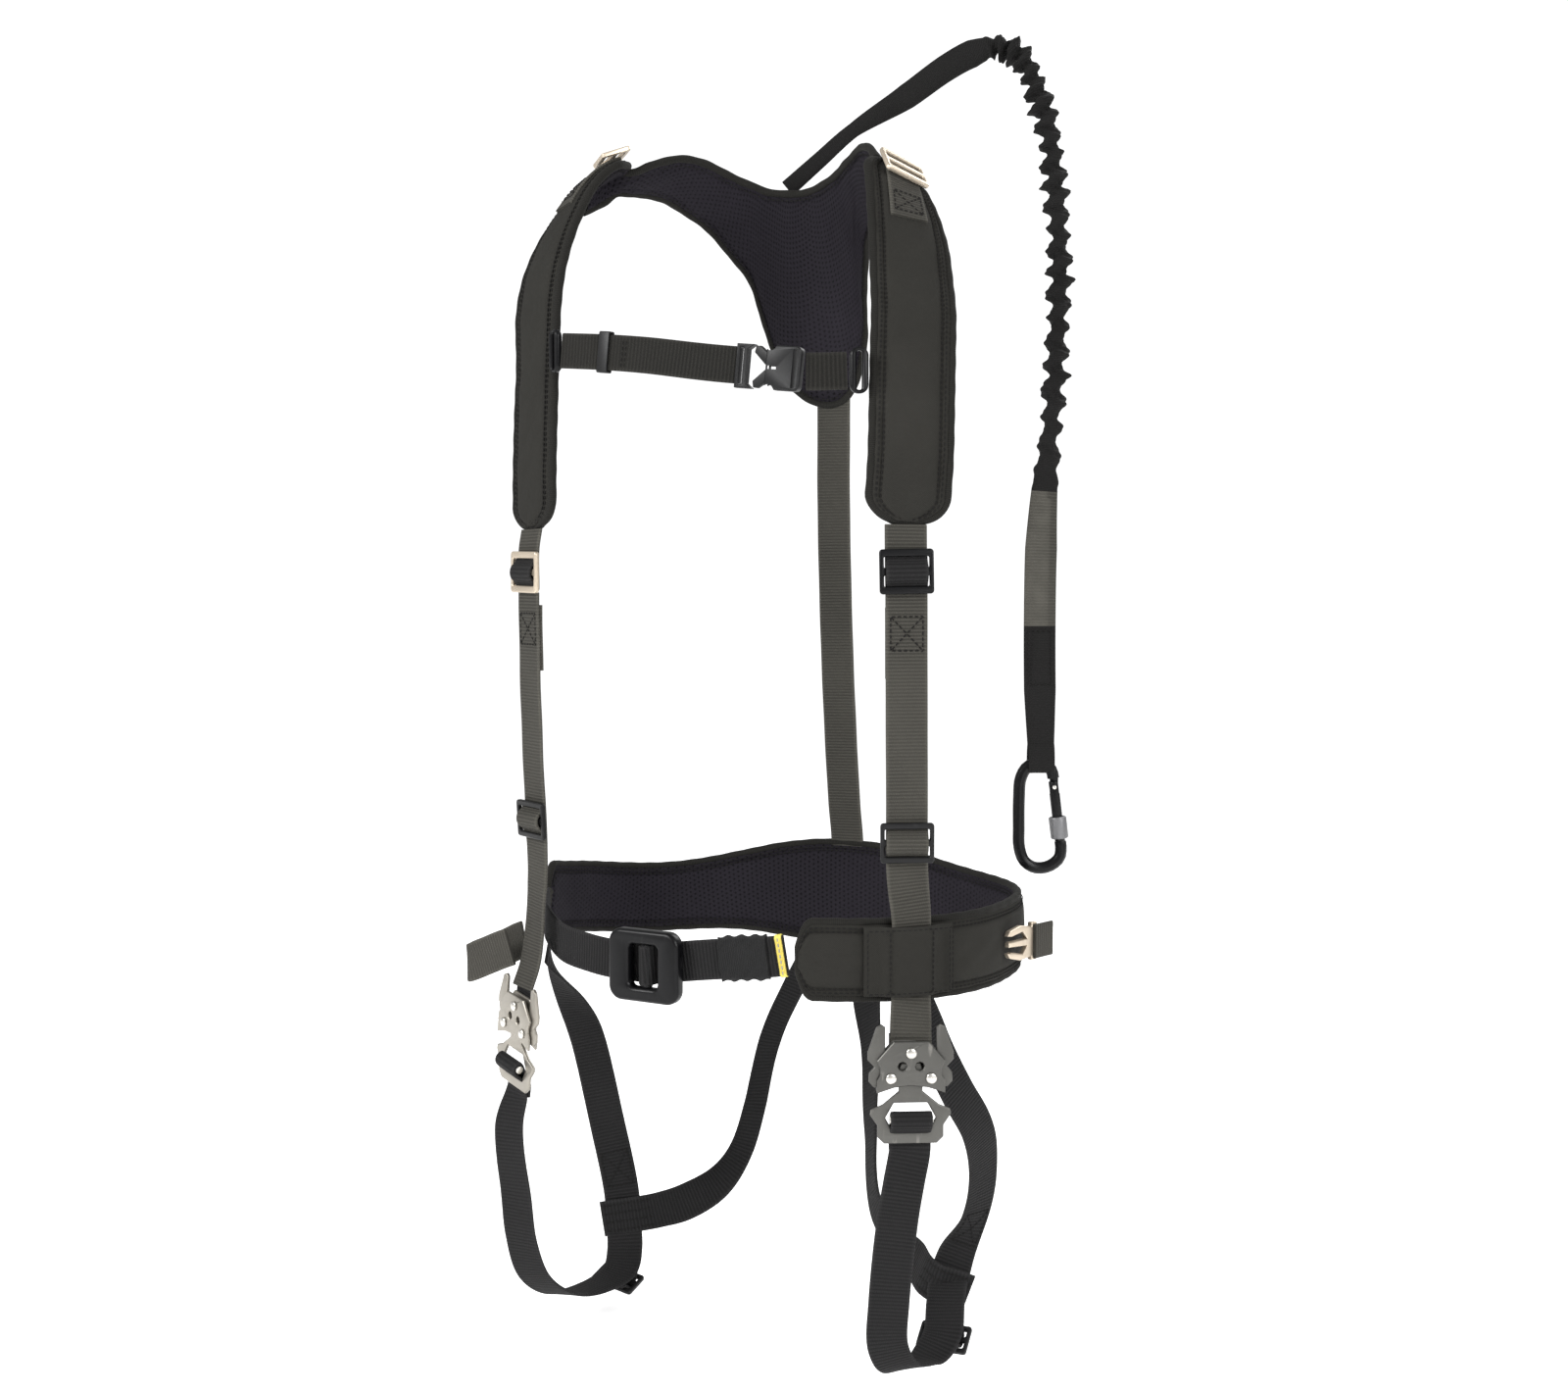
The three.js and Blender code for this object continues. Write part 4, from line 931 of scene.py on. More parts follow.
@dataclass
class Tether:
    """Folded strap, smooth sleeve, gathered elastic cover, flat webbing and an end loop, in one.

    Attributes:
        facing: the direction that the flat webbing faces.
        width: the flat webbing's width.
    """

    facing: tuple[float, float, float] = (0.4226, -0.9063, 0.0)
    width: float = 0.0215
    ruffle: float = 0.0072

    def build(self) -> None:
        route = np.array(TETHER_ROUTE)
        out = np.broadcast_to(np.array(self.facing), route.shape)
        rows = np.hstack([route, np.cross(out, unit(np.gradient(route, axis=0)))])
        path = Path.through(rows.tolist(), 0.0009)
        near = lambda k: path.length[np.argmin(np.linalg.norm(path.centre - route[k], axis=1))]
        stops = [near(k) for k in (0, 2, 3, 5, 6, 16, 17, 18, 19, 20, 21)]
        half = self.width / 2
        widths = [0.006, 0.005, 0.0085, 0.0092, 0.0058, 0.0058, 0.0088, half, half, half, 0.009]
        depths = [0.0016, 0.0022, 0.004, 0.0052, 0.0054, 0.0054, 0.004, 0.0017, 0.0016, 0.0027, 0.0032]
        wide, deep = np.interp(path.length, stops, widths), np.interp(path.length, stops, depths)
        gather = np.interp(path.length, [stops[4] - 0.012, stops[4], stops[5], stops[6]], [0, 1, 0.85, 0])
        spread = [stops[4], near(9), near(14), stops[6]]
        pitch = np.interp(path.length, spread, [0.0085, 0.0125, 0.0155, 0.019])
        turn = np.cumsum(2 * math.pi * 0.0009 / pitch)[:, None]
        w = np.linspace(0, 2 * math.pi, 40, endpoint=False)[None]
        uneven = 0.75 + 0.3 * np.sin(turn * 0.37 + 1.1) * np.sin(turn * 0.61)
        ridge = (0.5 + 0.5 * np.sin(turn - w + 0.5 * np.sin(2 * w + turn * 0.5))) ** 1.4
        small = 0.12 * np.sin(2.7 * turn + 3 * w) + 0.04 * np.sin(9 * w - turn)
        lift = self.ruffle * gather[:, None] * (uneven * (ridge + small) - 0.3)
        crumple = 0.0005 * np.sin(path.length * 260)[:, None] * np.sin(2 * w + path.length[:, None] * 90)
        square = np.where(np.abs(deep / wide) < 0.4, 0.45, 1.0)[:, None]
        shape = lambda c: np.sign(c) * np.abs(c) ** square
        u = (wide[:, None] + lift) * shape(np.cos(w))
        h = (deep[:, None] + lift + crumple * (deep[:, None] > 0.003)) * np.sin(w)
        seam = [stops[8] - 0.001, stops[9]]
        shell = carry(path, u, h)
        shell.cloth[:, 0] = np.broadcast_to(w * 0.008, u.shape).ravel()
        flat = (path.length[:-1] > stops[6]) & (path.length[:-1] < seam[0])
        shell.finish[: flat.size * 40] = np.repeat(flat, 40)
        top, foot = seam[0] + 0.003, seam[1] - 0.004
        sewing = [sewn(path, [(-half * 0.8, s), (half * 0.8, s)], 0.0029) for s in (top, foot)]
        sewing += [sewn(path, [(x, top), (x, foot)], 0.0031) for x in (-half * 0.7, half * 0.7)]
        tether = make("tether_webbing", [shell], [ELASTIC, WEBBING], "root", ["tether"], 60)
        threads = make("tether_stitching", sewing, [THREAD], "root")
        loop = self.loop(path)
        2 * half
        [tuple(p) for p in path.centre[::5].tolist()] + [tuple(path.centre[-1].tolist())]
        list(Carabiner().build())

    def loop(self, path: Path) -> bpy.types.Object:
        """The webbing loop round the carabiner's bar: an oval ring from the tether's end."""
        end, face = path.centre[-1], np.array(self.facing)
        bar = end + np.array([0, 0, -0.011])
        w = np.linspace(0, 2 * math.pi, 56)
        up = np.array([0, 0, 1.0])
        reach = np.where(np.cos(w) > 0, 0.014, 0.0062)
        centre = bar + np.outer(np.sin(w) * 0.0058, face) + np.outer(np.cos(w) * reach, up)
        across = np.tile(np.cross(up, face), (len(w), 1))
        ring = web(Path.framed(centre, across), 0.0175, 0.0018)
        return make("tether_end_loop", [ring], [ELASTIC], "root")


@dataclass
class Carabiner:
    """The black carabiner with its grey screw sleeve."""

    def build(self) -> list[bpy.types.Object]:
        """Eases and dresses its four nodes."""
        return [
            polished("carabiner_body", BLACK_METAL, "carabiner"),
            polished("carabiner_gate", BLACK_METAL, "carabiner_gate"),
            polished("carabiner_gate_pin", STEEL, "carabiner"),
            polished("carabiner_sleeve", GREY_METAL, "carabiner_sleeve"),
        ]


PAD_ROUTE = {
    Side.LEFT: [
        (0.086, -0.016, -0.013, 0.4, 0.86, -0.32),
        (0.093, -0.023, -0.023, 0.5, 0.82, -0.28),
        (0.0995, -0.031, -0.036, 0.6, 0.76, -0.24),
        (0.1055, -0.039, -0.051, 0.7, 0.68, -0.19),
        (0.1115, -0.048, -0.068, 0.78, 0.58, -0.14),
        (0.1175, -0.059, -0.09, 0.85, 0.5, -0.09),
        (0.1235, -0.071, -0.111, 0.88, 0.45, -0.05),
        (0.127, -0.081, -0.134, *ACROSS),
        (0.1288, -0.087, -0.165, *ACROSS),
        (0.1295, -0.091, -0.202, *ACROSS),
        (0.128, -0.094, -0.237, *ACROSS),
    ],
    Side.RIGHT: [
        (-0.1035, -0.0155, 0.0035, 0.64, -0.76, 0),
        (-0.111, -0.022, 0, 0.68, -0.73, 0.03),
        (-0.118, -0.0295, -0.0065, 0.72, -0.68, 0.06),
        (-0.1245, -0.038, -0.017, 0.77, -0.62, 0.09),
        (-0.13, -0.047, -0.032, 0.82, -0.55, 0.1),
        (-0.1345, -0.057, -0.051, 0.86, -0.49, 0.09),
        (-0.1365, -0.067, -0.073, 0.88, -0.45, 0.06),
        (-0.1355, -0.075, -0.096, 0.89, -0.44, 0.03),
        (-0.1325, -0.081, -0.122, *ACROSS_RIGHT),
        (-0.1305, -0.087, -0.16, *ACROSS_RIGHT),
        (-0.1295, -0.091, -0.2, *ACROSS_RIGHT),
        (-0.128, -0.094, -0.237, *ACROSS_RIGHT),
    ],
}


@dataclass
class ShoulderPad:
    """A padded shoulder strap, bound round its edge, with a webbing tab under its tan buckle."""

    side: Side
    thick: float = 0.0094

    def build(self) -> None:
        """Makes the pad, its binding, its stitches, its tab and its buckle."""
        word = self.side.word
        path = Path.through([(*row, PAD_WIDTH) for row in PAD_ROUTE[self.side]], 0.0016)
        shape = PadShape(self.thick, inset=0.0062, dip=0.0014, ruck=0.00035, taper=PAD_WIDTH / 3)
        cushion("shoulder_cushion_" + word, shape.shell(path), "shoulder_pad_" + word)
        binding = bound_edge(*shape.edge(path), 0.0026, 0.0027)
        make("shoulder_binding_" + word, [binding], [BINDING], "root")
        threads = shape.seams(path) + shape.seams(path, 0.0036)
        tab = path.part(0.004, 0.052).raised(self.thick / 2 + 0.0006)
        strap("shoulder_tab_" + word, tab, WEBBING)
        threads += box_stitch(tab, 0.03, 0.045, 0.0012)
        make("shoulder_stitching_" + word, threads, [THREAD], "root")
        polished("shoulder_buckle_" + word, CHAMPAGNE, "root")


# Each row is a rib from the neck edge to the arm edge. The first ones lie sewn beneath the right pad.
YOKE_RIBS = [
    (-0.123, -0.033, -0.016, -0.1265, -0.033, -0.027),
    (-0.118, -0.022, -0.002, -0.1187, -0.019, -0.0187),
    (-0.096, -0.0165, 0, -0.1125, -0.0115, -0.0115),
    (-0.089, -0.01, 0.0045, -0.107, -0.005, -0.011),
    (-0.083, 0, 0.009, -0.103, 0.011, -0.0095),
    (-0.075, 0.012, 0.0125, -0.098, 0.028, -0.01),
    (-0.066, 0.027, 0.0115, -0.092, 0.044, -0.015),
    (-0.057, 0.039, 0.0065, -0.081, 0.06, -0.025),
    (-0.049, 0.049, 0.002, -0.069, 0.072, -0.042),
    (-0.041, 0.054, -0.0014, -0.057, 0.082, -0.061),
    (-0.034, 0.058, -0.0047, -0.051, 0.089, -0.086),
    (-0.026, 0.06, -0.006, -0.045, 0.094, -0.108),
    (-0.018, 0.06, -0.007, -0.034, 0.097, -0.132),
    (-0.01, 0.06, -0.0075, -0.014, 0.098, -0.146),
    (-0.002, 0.058, -0.0072, 0.002, 0.098, -0.147),
    (0.006, 0.054, -0.006, 0.013, 0.097, -0.139),
    (0.014, 0.05, -0.004, 0.02, 0.096, -0.122),
    (0.021, 0.046, -0.002, 0.024, 0.094, -0.104),
    (0.028, 0.041, 0.0008, 0.025, 0.09, -0.082),
    (0.035, 0.034, 0.0035, 0.028, 0.084, -0.062),
    (0.043, 0.027, 0.006, 0.034, 0.074, -0.046),
    (0.052, 0.016, 0.0077, 0.046, 0.058, -0.034),
    (0.061, 0.004, 0.006, 0.066, 0.034, -0.026),
    (0.069, -0.006, 0.002, 0.082, 0.01, -0.023),
    (0.076, -0.014, -0.006, 0.088, 0.002, -0.025),
]


@dataclass
class Yoke:
    """The padded cross piece over the shoulder blades, lined with mesh and bound at both edges."""

    thick: float = 0.0066

    def path(self) -> Path:
        """The path midway between the neck and arm edges, its ribs kept at their slant."""
        ribs = np.array(YOKE_RIBS)
        t = np.linspace(0, 1, 260)
        neck, arm = smooth_line(ribs[:, :3], t), smooth_line(ribs[:, 3:], t)
        centre, across = (neck + arm) / 2, unit(arm - neck)
        along = unit(np.gradient(centre, axis=0))
        run = np.concatenate([[0], np.cumsum(np.linalg.norm(np.diff(centre, axis=0), axis=1))])
        wide = np.linalg.norm(arm - neck, axis=1)
        return Path(centre, across, along, unit(np.cross(along, across)), run, wide)

    def build(self) -> None:
        """Makes the pad, its bindings and its stitches."""
        path = self.path()
        shape = PadShape(self.thick, inset=0.0062, dip=0.0009, ruck=0.0004)
        cushion("yoke_cushion", shape.shell(path), "yoke_pad")
        half = shape.half(path)[:, None]
        edges = [bound_edge(path.centre + k * path.across * half, path.out, 0.0026, 0.0026) for k in (1, -1)]
        make("yoke_binding", edges, [BINDING], "root")
        make("yoke_stitching", shape.seams(path, 0.0042), [THREAD], "root")


def waist(angle: Array, offset: Array) -> tuple[Array, Array]:
    """The belt's outline: a superellipse x = a sin(w) ** (2 / n), y = b cos(w) ** (2 / n).

    Args:
        angle: degrees from the centre back towards the wearer's left.
        offset: how far outside the outline.

    Returns:
        Points with z = 0, and the outward directions.
    """
    a, b, n = 0.156, 0.115, 2.4
    w = np.radians(angle)
    x = a * np.sign(np.sin(w)) * np.abs(np.sin(w)) ** (2 / n)
    y = b * np.sign(np.cos(w)) * np.abs(np.cos(w)) ** (2 / n)
    slope_x = np.sign(x) * np.abs(x / a) ** (n - 1) / a
    slope_y = np.sign(y) * np.abs(y / b) ** (n - 1) / b
    out = unit(np.stack([slope_x, slope_y, np.zeros_like(x)], axis=-1))
    return np.stack([x, y, np.zeros_like(x)], axis=-1) + out * np.asarray(offset)[..., None], out


def on_waist(stops: Sequence[tuple[float, float, float]]) -> list[tuple]:
    """A belt route from rows of angle, height and offset."""
    angle, height, offset = (np.array(column, float) for column in zip(*stops))
    points, _ = waist(angle, offset)
    return [(x, y, z, 0, 0, 1) for (x, y, _), z in zip(points.tolist(), height.tolist())]


@dataclass
class Belt:
    """The padded waist belt, its webbing, its friction buckle, keeper, sleeve and tag."""

    thick: float = 0.0088
    middle: float = -0.498
    offset: float = 0.0013

    def pad_path(self) -> Path:
        """The pad's path: its height swells at the centre back and it dips towards the right."""
        angle = np.linspace(-104, 159, 27)
        points, _ = waist(angle, np.full(27, 0.0045))
        lumbar = np.exp(-((angle / 24) ** 2))
        wide = 0.046 + 0.026 * lumbar
        mid = self.middle + 0.001 * lumbar - 0.006 * np.exp(-(((angle + 50) / 26) ** 2))
        high = mid + 0.012 * np.exp(-(((angle + 115) / 26) ** 2))
        up = np.tile([0.0, 0.0, 1.0], (27, 1))
        rows = np.hstack([points[:, :2], high[:, None], up, wide[:, None]])
        return Path.through(rows.tolist(), 0.0018)

    def build(self) -> None:
        """Makes every piece of the belt."""
        path = self.pad_path()
        shape = PadShape(self.thick, inset=0.0056, dip=0.0012, ruck=0.0004, taper=PAD_WIDTH / 5, outside=-1)
        cushion("belt_cushion", shape.shell(path), "belt_pad")
        edges = bound_edge(*shape.edge(path), 0.0024, 0.0026)
        make("belt_binding", [edges], [BINDING], "root")
        make("belt_stitching", shape.seams(path) + shape.seams(path, 0.0034), [THREAD], "root")
        self.webbing()
        self.sleeve()
        polished("belt_buckle_frame", BLACK_METAL, "root", 0.0008)
        polished("belt_buckle_bar", BLACK_METAL, "belt_buckle_bar")

    def webbing(self) -> None:
        """Makes the webbing on both sides of the buckle, the fold over its bar, the keeper and tag."""
        off = self.offset
        start = [(161.8, -0.496, 0.0045), (166, -0.498, 0.003)]
        end = [(172, -0.5, off), (180, -0.504, off), (186.5, -0.508, off)]
        left = Path.through(on_waist(start + end))
        near = [(191, -0.509), (199, -0.509), (207, -0.508), (220, -0.506)]
        far = [(235, -0.499), (243, -0.497), (253, -0.492)]
        right = Path.through(on_waist([(angle, height, off) for angle, height in near + far]))
        rise = [(184.6, -0.508, off), (186.4, -0.508, 0.003)]
        over = [(187.4, -0.5085, 0.0085), (188.6, -0.509, 0.0103), (189.6, -0.509, 0.0085)]
        fall = [(190.4, -0.509, 0.003), (191.2, -0.509, off)]
        fold = Path.through(on_waist(rise + over + fall), 0.001)
        strap("belt_web_left", left, WEBBING_DARK, "belt_webbing_left")
        strap("belt_web_right", right, WEBBING_DARK, "belt_webbing_right")
        strap("belt_web_fold", fold, WEBBING_DARK, body="belt_buckle_bar")
        band = left.part(0.012, 0.044, 0.0008)
        u, h = oval(0.0138, 0.0031, 40)
        s = band.length[:, None]
        crush = 0.0006 * np.sin(s * 700 + 9 * u / 0.0138) + 0.0005 * np.sin(s * 330 + 4) * np.cos(u * 330)
        shape = lambda c: np.sign(c) * np.abs(c) ** 0.6
        cloth = carry(band, shape(u / 0.0138) * (0.0138 + crush), h + np.sign(h) * crush)
        make("keeper_band", [cloth], [GREY_BAND], "belt_keeper", ["belt_keeper"])
        tag = left.part(0.001, 0.005, 0.001)
        sides = web_section(0.0262, 0.0046)
        make("belt_tag", [carry(tag, *sides)], [TAG], "root")
        stitches = sewn(tag, [(-0.012, 0.002), (0.012, 0.002)], -0.0024)
        make("belt_tag_stitching", [stitches], [PALE_THREAD], "root")

    def sleeve(self) -> None:
        """Makes the cloth sleeve over the front strap: a thin panel with hemmed, sewn edges."""
        angles = np.linspace(-27, 27, 13) / 2.2 + 131
        stops = [(a, self.middle, self.thick + 0.0053) for a in angles.tolist()]
        rows = [(*row, 0.042) for row in on_waist(stops)]
        path = Path.through(rows, 0.0012)
        u, h = web_section(0.042, 0.0013)
        s = path.length
        bulge = 0.0042 * (1 - np.exp(-(((s - s[-1] / 2) / 0.0165) ** 6)))[:, None] - 0.0004
        panel = carry(path, u, h + bulge)
        make("sleeve_panel", [panel], [PAD_CLOTH], "root", ["belt_sleeve_left"])
        far, low = 0.019, 0.002
        rows = (low, low + 0.0022, s[-1] / 2 - 0.0135, s[-1] / 2 + 0.0135, s[-1] - low)
        lines = [[(-far, x), (far, x)] for x in rows]
        lines += [[(y, low), (y, s[-1] - low)] for y in (-far, far)]
        make("sleeve_stitching", [sewn(path, line, -0.0009) for line in lines], [THREAD], "root")


FRONT_UPPER = [
    (0.1286, -0.096, -0.2386, *ACROSS),
    (0.1295, -0.098, -0.252, *ACROSS),
    (0.13, -0.098, -0.277, *ACROSS),
]
FRONT_LOWER = [
    (0.13, -0.098, -0.279, *ACROSS),
    (0.13, -0.097, -0.34, *ACROSS),
    (0.1295, -0.0945, -0.4, *ACROSS),
    (0.129, -0.092, -0.445, *ACROSS),
]


@dataclass
class FrontStrap:
    """The webbing from a shoulder pad to a leg buckle, with its ladder lock and slider."""

    side: Side

    def lower_route(self) -> Route:
        """The route below the ladder lock."""
        if self.side is Side.RIGHT:
            return [
                *mirrored(FRONT_LOWER),
                (-0.13, -0.091, -0.47, 0.86, -0.5, 0),
                (-0.132, -0.0915, -0.5, 0.86, -0.5, 0),
                (-0.134, -0.094, -0.522, 0.87, -0.48, 0),
                (-0.137, -0.0985, -0.537, ACROSS[0], -ACROSS[1], 0),
            ]
        point, out = waist(np.array(131.0), np.array(0.0109))
        under = [(point[0], point[1], z, -out[1], out[0], 0) for z in (-0.472, -0.498, -0.52)]
        return [*FRONT_LOWER, *under, (0.134, -0.0985, -0.541, *ACROSS), (0.1335, -0.0968, -0.552, *ACROSS)]

    def build(self) -> None:
        """Makes the webbing, its folds and stitches, and dresses the hardware."""
        word = self.side.word
        upper = Path.through(sided(FRONT_UPPER, self.side))
        lower = Path.through(self.lower_route())
        strap("front_web_upper_" + word, upper, WEBBING, "front_strap_upper_" + word)
        strap("front_web_" + word, lower, WEBBING, "front_strap_" + word)
        whole = Path.through([*sided(FRONT_UPPER, self.side), *self.lower_route()[1:]])
        lock_at = float(whole.length[np.argmin(np.abs(whole.centre[:, 2] + 0.266))])
        slider_at = float(whole.length[np.argmin(np.abs(whole.centre[:, 2] + 0.426))])
        over_lock, over_slider = folded(whole, lock_at, 0.0062), folded(whole, slider_at, 0.0068)
        make("lock_fold_" + word, [over_lock], [WEBBING_DARK], "ladder_lock_" + word)
        make("slider_fold_" + word, [over_slider], [WEBBING], "strap_slider_" + word)
        sewing = box_stitch(whole, lock_at + 0.026, lock_at + 0.046, 0.0011)
        make("front_stitching_" + word, sewing, [THREAD], "root")
        strap("front_tail_" + word, lower.part(0.008, 0.05).raised(-0.0021), WEBBING)
        metal, slot = (BLACK_METAL, "black_metal") if self.side is Side.LEFT else (CHAMPAGNE, "champagne")
        polished("ladder_lock_" + word, metal, "ladder_lock_" + word)
        polished("strap_slider_" + word, PLASTIC, "strap_slider_" + word)


SIDE_LOOP = [
    (-0.1495, -0.076, -0.51, 0, 0, 1),
    (-0.158, -0.073, -0.513, 0, 0.1, 1),
    (-0.172, -0.071, -0.52, 0, 0.1, 1),
    (-0.186, -0.075, -0.526, 0, 0.1, 1),
    (-0.19, -0.081, -0.528, 0, 0, 1),
    (-0.186, -0.087, -0.527, 0, 0, 1),
    (-0.172, -0.09, -0.521, 0, 0, 1),
    (-0.158, -0.092, -0.515, 0, 0, 1),
    (-0.15, -0.093, -0.512, 0, 0, 1),
]
BACK_STRAP = [
    (-0.001, 0.0985, -0.14, 1, 0, 0),
    (-0.002, 0.101, -0.22, 1, 0, 0),
    (-0.001, 0.106, -0.33, 1, 0, 0),
    (0.001, 0.114, -0.43, 1, 0, 0),
    (0.0015, 0.118, -0.454, 1, 0, 0),
    (0.0018, 0.119, -0.474, 1, 0, 0),
]


@dataclass
class SideFittings:
    """The webbing loop at the right, the comb buckle at the left and the back strap."""

    def build(self) -> None:
        """Makes the three."""
        strap("side_loop_web", Path.through(SIDE_LOOP), WEBBING, "side_loop_right")
        strap("back_strap_web", Path.through(BACK_STRAP), WEBBING, "back_strap")
        polished("side_buckle_left", CHAMPAGNE, "side_buckle_left")
        self.tail()

    def tail(self) -> None:
        """The webbing through the comb buckle: a strip fitted to its node's box."""
        low, high = (np.array(c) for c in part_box("side_tail_left"))
        node = np.array([v.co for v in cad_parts["side_tail_left"].data.vertices])
        middle = (low + high) / 2
        flat = node[:, :2] - middle[:2]
        along = np.linalg.svd(flat - flat.mean(0), full_matrices=False)[2][0]
        reach = np.abs(flat @ along).max()
        ends = np.linspace(-reach, reach, 14)
        centre = middle + np.outer(ends, [*along, 0.0])
        side = np.tile([0.0, 0.0, 1.0], (14, 1))
        run = Path.framed(centre, side)
        strap("side_tail_web", run, WEBBING, "side_tail_left", "side_buckle_left", 0.022)


CHEST_RIGHT = [
    (-0.0985, -0.1063, -0.1274, 0.07, 0, 1),
    (-0.062, -0.1135, -0.131, 0.07, 0, 1),
    (-0.03, -0.118, -0.135, 0.1, 0, 1),
    (0.002, -0.121, -0.14, 0.1, 0, 1),
    (0.018, -0.1218, -0.1423, 0.1, 0, 1),
    (0.0325, -0.1221, -0.1441, 0.1, 0, 1),
]
CHEST_LEFT = [
    (0.0748, -0.1193, -0.1495, 0.03, 0, 1),
    (0.084, -0.116, -0.1495, 0, 0, 1),
    (0.0965, -0.109, -0.149, 0, 0, 1),
]


@dataclass
class ChestStrap:
    """The chest strap with its side-release buckle and the rings on the pads."""

    def build(self) -> None:
        """Makes the webbing and dresses the buckle and rings."""
        right, left = Path.through(CHEST_RIGHT), Path.through(CHEST_LEFT)
        outer = -1 if right.out[0][1] > 0 else 1
        bend = Bend("chest_catch", (-0.06, -0.1135, -0.131), (0.02, -0.1218, -0.1425))
        kind = {"body": "chest_strap", "width": CHEST_WEB}
        strap("chest_web_right", right, CHEST_WEBBING, "chest_webbing_right", bend=bend, **kind)
        strap("chest_web_left", left, CHEST_WEBBING, "chest_webbing_left", **kind)
        sewing = [sewn(right, [(-0.009, s), (0.009, s)], outer * 0.0012) for s in (0.05, 0.0525)]
        make("chest_stitching", sewing, [THREAD], "chest_strap")
        polished("chest_buckle_socket", PLASTIC, "chest_strap")
        polished("chest_buckle_catch", PLASTIC, "chest_catch")
        polished("chest_keeper", PLASTIC, "chest_keeper")
        for place in ("upper", "lower"):
            polished("chest_prong_" + place, PLASTIC, "chest_prong_" + place)
        for side in Side:
            polished("chest_slider_" + side.word, BLACK_METAL, "chest_strap")


OUTER_LEG = {
    Side.LEFT: [
        (0.13, -0.078, -0.527, 0.5, 0.8, 0),
        (0.136, -0.066, -0.552, 0.5, 0.8, 0),
        (0.146, -0.05, -0.585, 0.45, 0.88, 0),
        (0.152, -0.03, -0.612, 0.4, 0.9, 0),
        (0.15, -0.01, -0.642, 0.38, 0.92, 0),
        (0.141, 0.002, -0.68, 0.45, 0.88, 0),
        (0.129, 0, -0.706, 0.8, 0.58, 0),
        (0.1258, -0.0075, -0.7225, 0.9, 0.42, 0.1),
    ],
    Side.RIGHT: [
        (-0.153, -0.042, -0.524, 0.3, -0.95, 0),
        (-0.153, -0.031, -0.541, 0.6, -0.5, 0),
        (-0.149, 0, -0.588, 0.9, 0.35, 0),
        (-0.138, 0.01, -0.652, 0.9, 0.4, 0),
        (-0.127, 0.012, -0.704, 0.9, 0.4, 0),
        (-0.125, 0.0116, -0.7255, 0.9, 0.4, 0),
    ],
}
THIGH = {
    Side.LEFT: [
        (0.132, -0.103, -0.628, *ACROSS),
        (0.127, -0.102, -0.656, 0.9, 0.42, 0),
        (0.121, -0.099, -0.704, 0.9, 0.42, 0),
        (0.118, -0.093, -0.735, 0.9, 0.42, 0.05),
        (0.121, -0.08, -0.752, 0.92, 0.36, 0.15),
        (0.128, -0.06, -0.755, 0.92, 0.33, 0.25),
        (0.134, -0.042, -0.745, 0.93, 0.3, 0.2),
        (0.13, -0.024, -0.731, 0.93, 0.3, 0.15),
        (0.1258, -0.0075, -0.7205, 0.92, 0.38, 0.1),
    ],
    Side.RIGHT: [
        (-0.145, -0.104, -0.628, 0.95, -0.2, 0),
        (-0.141, -0.103, -0.672, 0.97, -0.1, 0),
        (-0.14, -0.098, -0.705, 0.97, -0.05, 0),
        (-0.138, -0.086, -0.734, 0.97, 0.1, 0),
        (-0.131, -0.062, -0.753, 0.95, 0.25, 0),
        (-0.122, -0.032, -0.757, 0.93, 0.35, 0),
        (-0.117, -0.008, -0.753, 0.92, 0.38, 0),
        (-0.121, 0.006, -0.742, 0.91, 0.4, 0),
        (-0.125, 0.0112, -0.7245, 0.9, 0.4, 0),
    ],
}
SEAT = {
    Side.LEFT: [
        (0.023, 0.118, -0.538, 0.98, -0.1, 0),
        (0.023, 0.104, -0.564, 0.9, -0.3, 0),
        (0.034, 0.085, -0.597, 0.75, -0.6, 0),
        (0.045, 0.058, -0.65, 0.6, -0.75, 0),
        (0.06, 0.032, -0.697, 0.45, -0.5, 0.6),
        (0.084, 0.016, -0.712, 0.2, -0.1, 0.95),
        (0.099, 0.004, -0.7165, 0.3, 0.2, 0.9),
        (0.1115, -0.0105, -0.72, 0.3, 0.2, 0.93),
        (0.1195, -0.0138, -0.7225, 0.3, 0.15, 0.94),
        (0.129, -0.0092, -0.726, 0.3, 0.15, 0.94),
        (0.1385, -0.004, -0.73, 0.3, 0.15, 0.94),
    ],
    Side.RIGHT: [
        (-0.022, 0.118, -0.538, 0.9, -0.3, 0),
        (-0.034, 0.102, -0.567, 0.85, -0.45, 0),
        (-0.045, 0.085, -0.604, 0.85, -0.5, 0),
        (-0.046, 0.062, -0.646, 0.85, -0.5, 0),
        (-0.05, 0.046, -0.676, 0.8, -0.5, -0.2),
        (-0.062, 0.034, -0.696, 0.5, -0.4, -0.6),
        (-0.083, 0.025, -0.71, 0.15, -0.2, -0.95),
        (-0.101, 0.0195, -0.7165, 0.12, 0, -0.99),
        (-0.1145, 0.0142, -0.7195, 0.14, 0, -0.99),
        (-0.1265, 0.0087, -0.7215, 0.14, 0, -0.99),
        (-0.1378, 0.0036, -0.7235, 0.14, 0, -0.99),
    ],
}


